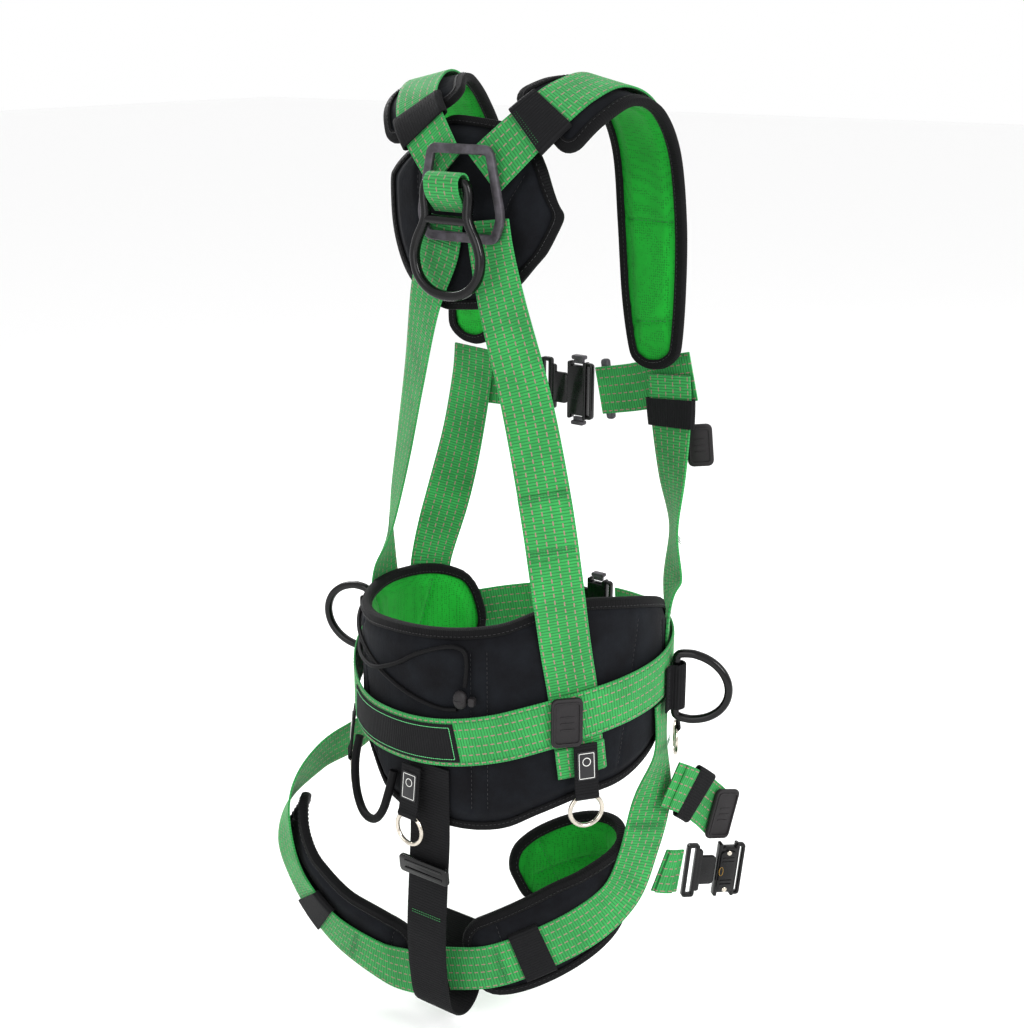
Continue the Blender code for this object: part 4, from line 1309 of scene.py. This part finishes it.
def dorsal_loop():
    """The short loop that holds the dorsal ring's bar to the plate."""
    hinge = Vector(DORSAL_HINGE)
    rows = [(hinge.x, 0.0050, hinge.z - 0.023, 0, -1, 0)]
    for turn in range(180, -1, -30):
        out = Vector((0, math.cos(math.radians(turn)), math.sin(math.radians(turn))))
        rows.append((*(hinge + out * 0.0078), *out))
    rows.append((hinge.x, hinge.y + 0.0050, hinge.z - 0.0110, 0, 1, -0.6))
    rows.append((hinge.x, 0.0100, hinge.z - 0.0245, 0, 0.8, -0.8))
    STRIPS["dorsal_loop"] = Strip(with_width(rows, 0.036), 6)
    cloth("dorsal_loop_web", STRIPS["dorsal_loop"], "webbing", columns=8, ribbed=True,
          nodes=("dorsal_loop",))


def webbing_ends():
    """Doubled and folded ends that lie on the straps."""
    right = STRIPS["back_strap_right"]
    for name, strip, start, stop, lift in (
            ("back_strap_right_lap", right, 0.235, 0.290, 0.0022),
            ("back_strap_right_hem", right, right.length - 0.030, right.length - 0.002, 0.0024),
            ("chest_band_right_lap", STRIPS["chest_band_right"], 0.040, 0.090, 0.0022),
            ("leg_branch_lap", STRIPS["leg_branch_right"], 0.010, 0.052, 0.0022),
            ("leg_front_lap", STRIPS["leg_front_right"], 0.003, 0.018, 0.0022)):
        cloth(name, strip, "webbing", ends=(start, stop), lift=lift, columns=8, ribbed=True)


def sewn_joints():
    """Bar tacks and sewn boxes on the load straps."""
    tacks = {
        "back_strap_right": [bar_tack(0.236, 0, 0.040), bar_tack(0.282, 0, 0.040)],
        "back_strap_left": [bar_tack(0.020, 0, 0.038), bar_tack(0.330, 0, 0.038)],
        "front_strap_left": [bar_tack(0.075, 0, 0.038), bar_tack(0.150, 0, 0.038)],
        "front_strap_right": [bar_tack(0.012, 0, 0.038), bar_tack(0.150, 0, 0.038)],
        "chest_band_right": [box_x(0.050, 0.086, 0.017), bar_tack(0.044, 0, 0.038)],
        "chest_band_left": [bar_tack(0.040, 0, 0.038), bar_tack(0.085, 0, 0.038)],
        "leg_strap_right": [bar_tack(0.045, 0, 0.038), bar_tack(0.125, 0, 0.038, 4),
                            bar_tack(0.330, 0, 0.038)],
        "leg_strap_left": [bar_tack(0.050, 0, 0.038), bar_tack(0.380, 0, 0.038)],
        "shoulder_strap_right": [bar_tack(0.050, 0, 0.038)],
        "shoulder_strap_left": [bar_tack(0.050, 0, 0.038)],
    }
    for name, groups in tacks.items():
        paths = [path for group in groups for path in group]
        stitching(name + "_tacks", STRIPS[name], paths, lift=0.0035 if "right" in name else 0.0012,
                  pitch=0.0026, long=0.0024, wide=0.0010)
    belt = STRIPS["belt_strap"]
    paths = [((0.01, x), (belt.length - 0.01, x)) for x in (-0.0185, 0.0185)]
    stitching("belt_edge_stitching", belt, paths, pitch=0.0045, long=0.0032)


class HARNESS_OT_pads(bpy.types.Operator):
    """Yoke, shoulder, waist and leg pads: filled cushions with sewn channels and bound edges"""
    bl_idname = "harness.pads"
    bl_label = "Pads"

    def execute(self, context):
        sizes = context.scene.harness_sizes
        pads = [
            Pad("yoke_shield", SHOULDER_THICK, 0.014, shield_seams()),
            Pad("shoulder_pad_right", SHOULDER_THICK, 0.014, cross_seams("shoulder_pad_right")),
            Pad("shoulder_pad_left", SHOULDER_THICK, 0.014, cross_seams("shoulder_pad_left")),
            Pad("waist_pad", PAD_THICK, 0.022, waist_seams()),
            Pad("leg_pad_right", PAD_THICK, 0.020, rail_seams("leg_pad_right")),
            Pad("leg_pad_left", PAD_THICK, 0.018, rail_seams("leg_pad_left")),
        ]
        for pad in pads:
            pad.start(sizes.voxel)
        rest = [[v.co.copy() for v in pad.piece.data.vertices] for pad in pads]
        for pad in pads:
            pad.inflate()
        for number in range(1, FILL_FRAMES + 1):
            context.scene.frame_set(number)
        for pad, before in zip(pads, rest):
            pad.settle(before, sizes.swell)
        context.scene.frame_set(1)
        for pad in pads:
            pad.finish_shape()
            strip = pad.strip
            binding(pad.name + "_binding", strip, pad.corner, pad.thick / 2 - 0.0010)
            edge = [inside_edge(strip, pad.corner, BINDING_WIDE * 0.62)]
            for word, sign in (("outer", 1), ("inner", -1)):
                lift = sign * (pad.thick / 2 + 0.0002)
                stitching(f"{pad.name}_{word}_edge_stitching", strip, edge, "black_thread",
                          lift=lift, pitch=0.0045, long=0.0030, wide=0.0006)
                colour = "green_thread" if sign < 0 else "black_thread"
                stitching(f"{pad.name}_{word}_seam_stitching", strip, pad.seams, colour,
                          locate=pad.locate(sign), pitch=0.0045, long=0.0032, wide=0.0007)
        return {"FINISHED"}


def shield_seams():
    """One curved seam down each side of the yoke shield."""
    return [[(0.035, side * 0.055), (0.075, side * 0.045), (0.150, side * 0.020)]
            for side in (-1, 1)]


def cross_seams(name):
    """Three seams across a shoulder pad."""
    strip = STRIPS[name]
    seams = []
    for s in (0.24, 0.62, 0.88):
        s *= strip.length
        half = strip.half(s) - 0.009
        seams.append([(s, -half), (s, half)])
    return seams


def rail_seams(name):
    """One seam down the middle of a leg pad, and one across each end."""
    strip = STRIPS[name]
    length = strip.length
    ends = [(length * share, strip.half(length * share) - 0.010) for share in (0.12, 0.88)]
    return [[(0.02, 0), (length - 0.02, 0)]] + [[(s, -half), (s, half)] for s, half in ends]


def waist_s(angle, name="waist_pad"):
    """Distance along the waist pad or the belt of an angle round the waist."""
    strip = STRIPS[name]
    want = waist_point(angle, 0)[0].xy
    gaps = [((Vector(f[0]).xy - want).length, n) for n, f in enumerate(strip.frames)]
    return min(gaps)[1] / (len(strip.frames) - 1) * strip.length


def waist_seams():
    """Diagonal quilting lines, and two upright lines beside the back's middle."""
    strip = STRIPS["waist_pad"]
    seams = []
    for low_angle, high_angle, low, high in (
            (-112, -96, -0.8, 0.8), (-70, -84, -0.8, 0.8), (-44, -28, -0.8, 0.8),
            (18, 18, -0.8, 0.8), (24, 24, -0.8, 0.8), (44, 62, -0.8, 0.8), (84, 74, -0.8, 0.8),
            (104, 112, -0.7, 0.7)):
        s_a, s_b = waist_s(low_angle), waist_s(high_angle)
        seams.append([(s_a, low * strip.half(s_a)), (s_b, high * strip.half(s_b))])
    return seams


class HARNESS_OT_dorsal(bpy.types.Operator):
    """Dorsal plate and its swinging ring"""
    bl_idname = "harness.dorsal"
    bl_label = "Dorsal plate and ring"

    def execute(self, context):
        facing = ((-1, 0, 0), (0, 1, 0))
        middle = [((a[0] + b[0]) / 2, (a[1] + b[1]) / 2) for a, b in zip(PLATE_OUTER, PLATE_WINDOW)]
        corners = rounded_corners(middle, 0.006)
        bm = swept_loop(corners, 0.0085, 0.0042, 16, 0.45)
        bmesh.ops.transform(bm, verts=bm.verts, matrix=axes_at((0, 0.002, 0), *facing))
        put("dorsal_plate_frame", bm, "grey", nodes=("dorsal_plate",))
        place = axes_at(DORSAL_HINGE, *facing)
        side = [(0.0232, -0.0120), (0.0225, -0.0300), (0.0318, -0.0490), (0.0351, -0.0640),
                (0.0308, -0.0800), (0.0180, -0.0912), (0.0, -0.0948)]
        path = [(0.0, 0.0), (0.0120, 0.0), (0.0205, -0.0012), *side]
        path += [(-x, y) for x, y in reversed(path[1:-1])]
        bow = swept_loop(smooth_loop(path, 6), 0.0084, 0.0080, 16, 0.7)
        bar = rod(0.042, 0.0040)
        bridge = Matrix.Translation((0, -0.0310, 0))
        whole = joined((bow, place), (bar, place @ bridge))
        put("dorsal_ring_forging", whole, "gloss", body="dorsal_ring", nodes=("dorsal_ring",))
        return {"FINISHED"}


def rounded_corners(points, radius, steps=5):
    """A closed outline with each corner turned into a small curve."""
    out = []
    count = len(points)
    for index in range(count):
        corner = Vector(points[index])
        before = (Vector(points[index - 1]) - corner).normalized() * radius
        after = (Vector(points[(index + 1) % count]) - corner).normalized() * radius
        for step in range(steps + 1):
            t = step / steps
            out.append(tuple(corner + before * (1 - t) ** 2 + after * t ** 2))
    return out


class HARNESS_OT_side_rings(bpy.types.Operator):
    """Forged D-rings on both hips, each in its black web loop"""
    bl_idname = "harness.side_rings"
    bl_label = "Side rings"

    def execute(self, context):
        for side, (angle, height) in SIDE_RINGS.items():
            point, normal = waist_point(angle, height, BELT_OUT + 0.0078)
            tangent = normal.cross(RISE)
            place = axes_at(point, normal, tangent)
            half, reach, corner = SIDE_HALF_HIGH - 0.0037, SIDE_REACH - 0.0037, 0.011
            path = [(0.0, y * half * 0.9) for y in (-1, -0.5, 0, 0.5, 1)]
            for step in range(13):
                turn = math.radians(90 - 15 * step)
                path.append((corner + (reach - corner) * math.cos(turn),
                             half * math.sin(turn)))
            bm = swept_loop(smooth_loop(path, 5), 0.0075, 0.0072, 16, 0.75)
            bmesh.ops.transform(bm, verts=bm.verts, matrix=place)
            put(f"side_ring_{side}_forging", bm, "gloss", body=f"side_ring_{side}",
                nodes=(f"side_ring_{side}",))
            side_loop(side, point, normal, tangent)
        return {"FINISHED"}


def side_loop(side, point, normal, tangent):
    """The sewn web loop that a side ring's bar turns in."""
    rows = [(*(point + tangent * offset + normal * lift), *normal)
            for offset, lift in ((-0.018, -0.0052), (-0.010, -0.0045))]
    for turn in (200, 150, 90, 30, -20):
        way = tangent * math.cos(math.radians(turn)) + normal * math.sin(math.radians(turn))
        rows.append((*(point + way * 0.0074), *way))
    rows += [(*(point + tangent * offset + normal * lift), *normal)
             for offset, lift in ((0.010, -0.0045), (0.018, -0.0052))]
    strip = Strip(with_width(rows, 0.044), 6)
    cloth(f"side_ring_loop_{side}_web", strip, "black_web", columns=8, ribbed=True,
          nodes=(f"side_ring_loop_{side}",))
    edges = (0.004, strip.length - 0.004)
    stitching(f"side_ring_loop_{side}_tacks", strip,
              [((s, -0.018), (s, 0.018)) for s in edges], "black_thread")


class HARNESS_OT_tool_rings(bpy.types.Operator):
    """Five wire rings on labelled web loops under the belt"""
    bl_idname = "harness.tool_rings"
    bl_label = "Tool rings"

    def execute(self, context):
        for word, angle in TOOL_ANGLES.items():
            middle = belt_height(angle)
            point, normal = waist_point(angle, middle - RING_DROP, RING_OUT)
            place = axes_at(point, RISE.cross(normal), normal)
            circle = [(TOOL_RING_R * math.cos(math.tau * n / 64),
                       TOOL_RING_R * math.sin(math.tau * n / 64) - TOOL_RING_R) for n in range(64)]
            bm = swept_loop(circle, 2 * TOOL_WIRE_R, 2 * TOOL_WIRE_R, 14)
            bmesh.ops.transform(bm, verts=bm.verts, matrix=place)
            put(f"tool_ring_{word}_wire", bm, "nickel", body=f"tool_ring_{word}",
                nodes=(f"tool_ring_{word}",))
            tool_loop(word, angle, middle)
        return {"FINISHED"}


def tool_loop(word, angle, middle):
    """A web loop that comes from behind the belt and turns round its ring."""
    rows = []
    for z, out in ((-0.0275, BELT_OUT + 0.001), (-0.045, BELT_OUT + 0.0035), (-0.063, RING_OUT)):
        place, face = waist_point(angle, middle + z, out)
        rows.append((*place, *face))
    centre, face = waist_point(angle, middle - RING_DROP, RING_OUT)
    bend = TOOL_WIRE_R + 0.0014
    for turn in (60, 20, -20, -60, -90, -120):
        way = face * math.cos(math.radians(turn)) + RISE * math.sin(math.radians(turn))
        rows.append((*(centre + way * bend), *way))
    strip = Strip(with_width(rows, 0.022), 6)
    cloth(f"tool_loop_{word}_web", strip, "black_web", columns=6, ribbed=True,
          nodes=(f"tool_loop_{word}",))
    mark(f"tool_loop_{word}", strip, 0.020, 0.017, 0.026)


def mark(name, strip, s, wide, long, x=0.0, lift=0.0014):
    """A woven label: a black patch with a thin pale border and a plain round sign."""
    place = frame_on(strip, s, x, lift)
    patch = slab((long, wide), 0.0015, 0.0007, 0.0002)
    bmesh.ops.transform(patch, verts=patch.verts, matrix=place)
    put(name + "_label", patch, "black_thread")
    above = place @ Matrix.Translation((0, 0, 0.0004))
    border = slab((long - 0.0025, wide - 0.0025), 0.0010, 0.0003, 0.00005, rim=0.0006)
    ring = [(0.0036 * math.cos(math.tau * n / 32) - long * 0.14,
             0.0036 * math.sin(math.tau * n / 32)) for n in range(32)]
    sign = swept_loop(ring, 0.0008, 0.0004, 8)
    whole = joined((border, above), (sign, above))
    put(name + "_label_border", whole, "pale_thread")


BUCKLES = {
    "chest_buckle": ((0.004, CHEST_Y, CHEST_Z), (-1, 0, 0), (0, -1, 0)),
    "belt_buckle": (tuple(waist_point(180, -0.4650, BELT_OUT)[0] + Vector((0.002, 0, 0))),
                    (-1, 0, 0), (0, -1, 0)),
    "leg_buckle": ((-0.1900, -0.1444, -0.6814), (-0.62, -0.75, -0.1), (-0.78, 0.62, 0)),
}


class HARNESS_OT_buckles(bpy.types.Operator):
    """Quick-release buckles, their latches and the adjuster bars"""
    bl_idname = "harness.buckles"
    bl_label = "Buckles and adjusters"

    def execute(self, context):
        for name, where in BUCKLES.items():
            place = axes_at(*where)
            buckle_tongue(name, place)
            buckle_housing(name, place)
            if name != "leg_buckle":
                latches(name, place)
        chest = axes_at((-0.038, CHEST_Y - 0.0042, -0.2325), (-1, 0, 0.14), (0.03, -1, 0))
        point, normal = waist_point(138, -0.4585, BELT_OUT + 0.0042)
        belt = axes_at(point, normal.cross(RISE), normal)
        for name, matrix in (("chest_slide_bar", chest), ("belt_slide_bar", belt)):
            bm = joined((slab((0.009, 0.058), 0.003, 0.004, 0.0010), matrix),
                        (rod(0.050, 0.0022), matrix @ Matrix.Rotation(math.pi / 2, 4, "Z")
                         @ Matrix.Translation((0, 0, 0.0012))))
            put(name + "_metal", bm, "grey", body=name, nodes=(name,))
        place = axes_at((-0.0080, 0.0764, -0.6400), (-1, 0, 0), (0, 1, -0.10))
        bm = joined((slab((0.056, 0.018), 0.004, 0.004, 0.0009), place),
                    (slab((0.044, 0.0025), 0.0012, 0.0010, 0.0003),
                     place @ Matrix.Translation((0, 0.0040, 0.0022))),
                    (slab((0.044, 0.0025), 0.0012, 0.0010, 0.0003),
                     place @ Matrix.Translation((0, -0.0040, 0.0022))))
        put("riser_slide_plate", bm, "gloss", body="riser_slide", nodes=("riser_slide",))
        return {"FINISHED"}


def buckle_tongue(name, place):
    """The flat fork that clicks into the housing, with the bar that its strap goes round."""
    at = Matrix.Translation
    end = slab((0.0125, BUCKLE_HIGH), 0.0030, 0.0045, 0.0009, rim=0.0035)
    neck = slab((0.0200, 0.0300), 0.0040, 0.0042, 0.0009)
    shoulder = slab((0.0060, 0.0440), 0.0025, 0.0044, 0.0008)
    whole = joined((end, place @ at((-0.0260, 0, 0))), (neck, place @ at((-0.0112, 0, 0))),
                   (shoulder, place @ at((-0.0185, 0, 0))))
    put(name + "_tongue_plate", whole, "gloss", nodes=(name + "_tongue",))


def buckle_housing(name, place):
    """A hollow-looking case: a base, a raised cover with fins, and a slotted end bar."""
    at = Matrix.Translation
    shapes = [
        (slab((0.0200, BUCKLE_HIGH - 0.0074), 0.0020, 0.0080, 0.0016), at((0.0105, 0, -0.0008))),
        (slab((0.0036, BUCKLE_HIGH), 0.0014, 0.0078, 0.0008), at((0.0022, 0, -0.0008))),
        (slab((0.0036, BUCKLE_HIGH), 0.0014, 0.0078, 0.0008), at((0.0196, 0, -0.0008))),
        (slab((0.0160, BUCKLE_HIGH - 0.014), 0.0040, 0.0030, 0.0010), at((0.0100, 0, 0.0040))),
        (slab((0.0110, BUCKLE_HIGH - 0.001), 0.0035, 0.0055, 0.0012, rim=0.0032),
         at((0.0222, 0, -0.0005))),
    ]
    for y in (-0.014, -0.010, 0.010, 0.014):
        shapes.append((slab((0.0120, 0.0014), 0.0006, 0.0014, 0.0003), at((0.0100, y, 0.0055))))
    whole = joined(*[(bm, place @ matrix) for bm, matrix in shapes])
    put(name + "_case", whole, "gloss", nodes=(name + "_housing",))
    pins = [(rivet(0.0026, 0.0010), place @ at((0.0100, y, 0.0056))) for y in (-0.0195, 0.0195)]
    put(name + "_rivets", joined(*pins), "nickel")
    spring = [(0.0020 * math.cos(math.tau * n / 24), 0.0045 * math.sin(math.tau * n / 24))
              for n in range(24)]
    put(name + "_spring", joined((swept_loop(spring, 0.0008, 0.0008, 8),
                                  place @ at((0.0040, 0, 0.0052)))), "brass")


def latches(name, place):
    """The two side buttons of a buckle, each with finger ridges."""
    for word, sign in (("upper", 1), ("lower", -1)):
        up = 1 if (place.to_3x3() @ Vector((0, 1, 0))).z > 0 else -1
        away = sign * up * (BUCKLE_HIGH / 2 + LATCH_TRAVEL + 0.0004 + LATCH_HIGH / 2)
        there = place @ Matrix.Translation((HOUSING_LONG * 0.4, away, 0))
        inward = -sign * up * (LATCH_HIGH / 2 + 0.0018)
        shapes = [(slab((0.014, LATCH_HIGH), 0.0015, 0.007, 0.0006), there),
                  (slab((0.010, 0.0040), 0.0004, 0.004, 0.0003),
                   there @ Matrix.Translation((0, inward, 0)))]
        for x in (-0.004, -0.002, 0, 0.002, 0.004):
            shapes.append((slab((0.0008, LATCH_HIGH - 0.0006), 0.0003, 0.0006, 0.0001),
                           there @ Matrix.Translation((x, 0, 0.0036))))
        node = f"{name}_latch_{word}"
        put(node + "_button", joined(*shapes), "grey", body=node, nodes=(node,))


class HARNESS_OT_tabs(bpy.types.Operator):
    """Moulded rubber tabs and the cord lock"""
    bl_idname = "harness.tabs"
    bl_label = "Rubber tabs"

    def execute(self, context):
        point, normal = waist_point(TAB_ANGLE, -0.4790, BELT_OUT + 0.0045)
        spots = {
            "belt_tab": (axes_at(point, RISE.cross(normal), normal), 0.028, 0.046),
            "front_strap_tab": (axes_at((-0.1390, -0.1750, -0.272), (-0.9, -0.45, 0.1),
                                        (0.45, -0.9, 0)), 0.024, 0.040),
            "leg_branch_tab": (axes_at((-0.1888, -0.1560, -0.6270), (-0.30, -0.90, -0.28),
                                       (-0.94, 0.33, 0)), 0.030, 0.050),
        }
        for name, (place, wide, high) in spots.items():
            body = slab((wide, high), 0.0055, 0.0046, 0.0014)
            rims = []
            for sign in (1, -1):
                rim = slab((wide - 0.004, high - 0.006), 0.0040, 0.0010, 0.0003, rim=0.0014)
                rims.append((rim, place @ Matrix.Translation((0, 0, sign * 0.0026))))
                for y in (-0.006, 0.0, 0.006):
                    bar = slab((wide * 0.45, 0.0014), 0.0006, 0.0008, 0.0002)
                    rims.append((bar, place @ Matrix.Translation((0, y, sign * 0.0024))))
            put(name + "_moulding", joined((body, place), *rims), "rubber", nodes=(name,))
        point, normal = waist_point(*LOCK_PLACE)
        place = axes_at(point, RISE.cross(normal), normal)
        ball = bmesh.new()
        bmesh.ops.create_uvsphere(ball, u_segments=24, v_segments=14, radius=1)
        bmesh.ops.scale(ball, vec=(0.0066, 0.0088, 0.0054), verts=ball.verts)
        collar = swept_loop([(0.0052 * math.cos(math.tau * n / 32), 0.0052 * math.sin(math.tau * n / 32))
                             for n in range(32)], 0.0020, 0.0016, 10)
        turn = Matrix.Rotation(math.pi / 2, 4, "X")
        put("cord_lock_body", joined((ball, place), (collar, place @ turn)), "rubber",
            nodes=("cord_lock",))
        button = slab((0.006, 0.008), 0.0020, 0.006, 0.0010)
        put("cord_lock_button_cap", joined((button, place @ Matrix.Translation((0.0112, 0, 0)))),
            "rubber", body="cord_lock_button", nodes=("cord_lock_button",))
        return {"FINISHED"}


def on_waist(points, steps):
    """A smooth route over the waist, from rows of angle, height and distance out."""
    return [tuple(waist_point(*row)[0]) for row in smooth_rows(points, steps)]


class HARNESS_OT_riser(bpy.types.Operator):
    """Black riser strap, gear loop and the elastic lacing"""
    bl_idname = "harness.riser"
    bl_label = "Riser, gear loop and lacing"

    def execute(self, context):
        strip = STRIPS["riser_strap"]
        cloth("riser_strap_web", strip, "black_web", columns=8, ribbed=True,
              nodes=("riser_strap",))
        stitching("riser_tacks", strip, bar_tack(0.150, 0, 0.034, 2), "green_thread",
                  pitch=0.0026, long=0.0024, wide=0.0010)
        cord_piece("gear_loop_cord", on_waist(GEAR_LOOP, 3), GEAR_LOOP_R, "cord",
                   nodes=("gear_loop",))
        cord_piece("lacing_lower_cord", on_waist(LACING_LOWER, 3), CORD_R, "cord",
                   nodes=("lacing_lower",))
        cord_piece("lacing_upper_cord", on_waist(LACING_UPPER, 3), CORD_R, "cord",
                   nodes=("lacing_upper",))
        return {"FINISHED"}


class HARNESS_OT_trims(bpy.types.Operator):
    """Keepers and the belt's cloth patch"""
    bl_idname = "harness.trims"
    bl_label = "Keepers and tags"

    def execute(self, context):
        for name, strap, s, wide in (
                ("shoulder_keeper_right", "shoulder_strap_right", 0.065, 0.030),
                ("shoulder_keeper_left", "shoulder_strap_left", 0.060, 0.028),
                ("front_keeper_right", "front_strap_right", 0.035, 0.026),
                ("leg_keeper_right", "leg_strap_right", 0.300, 0.030),
                ("leg_keeper_left", "leg_strap_left", 0.330, 0.030),
                ("branch_keeper", "leg_branch_right", 0.036, 0.022)):
            keeper(name, STRIPS[strap], s, wide)
        belt = STRIPS["belt_strap"]
        start, stop = waist_s(-42, "belt_strap"), waist_s(14, "belt_strap")
        cloth("belt_patch", belt, "black_web", ends=(start, stop), sides=(-0.80, 0.80),
              lift=0.0019, thickness=0.0010, pitch=0.005)
        rim = [(start + 0.004, -0.0150), (stop - 0.004, -0.0150), (stop - 0.004, 0.0150),
               (start + 0.004, 0.0150), (start + 0.004, -0.0150)]
        stitching("belt_patch_border", belt, [rim], "mint_thread", lift=0.0026, pitch=0.0022,
                  long=0.0024, wide=0.0009)
        return {"FINISHED"}


OPERATORS = (HARNESS_OT_stage, HARNESS_OT_webbing, HARNESS_OT_pads, HARNESS_OT_dorsal,
             HARNESS_OT_side_rings, HARNESS_OT_tool_rings, HARNESS_OT_buckles, HARNESS_OT_tabs,
             HARNESS_OT_riser, HARNESS_OT_trims)


class HARNESS_PT_panel(bpy.types.Panel):
    """The harness's sizes and colours, and a button for each group of pieces"""
    bl_idname = "HARNESS_PT_panel"
    bl_label = "Climbing harness"
    bl_space_type = "VIEW_3D"
    bl_region_type = "UI"
    bl_category = "Harness"

    def draw(self, context):
        for group in (context.scene.harness_sizes, context.scene.harness_colours):
            for name in group.bl_rna.properties.keys():
                if name not in {"rna_type", "name"}:
                    self.layout.prop(group, name)
        for operator in OPERATORS:
            self.layout.operator(operator.bl_idname)


CLASSES = (HarnessSizes, HarnessColours, *OPERATORS, HARNESS_PT_panel)


def register():
    for made in CLASSES:
        bpy.utils.register_class(made)
    bpy.types.Scene.harness_sizes = PointerProperty(type=HarnessSizes)
    bpy.types.Scene.harness_colours = PointerProperty(type=HarnessColours)


def unregister():
    del bpy.types.Scene.harness_colours
    del bpy.types.Scene.harness_sizes
    for made in reversed(CLASSES):
        bpy.utils.unregister_class(made)


def main():
    register()
    bpy.ops.harness.stage()
    bpy.ops.harness.webbing()
    bpy.ops.harness.pads()
    bpy.ops.harness.dorsal()
    bpy.ops.harness.side_rings()
    bpy.ops.harness.tool_rings()
    bpy.ops.harness.buckles()
    bpy.ops.harness.tabs()
    bpy.ops.harness.riser()
    bpy.ops.harness.trims()


if __name__ == "__main__":
    main()
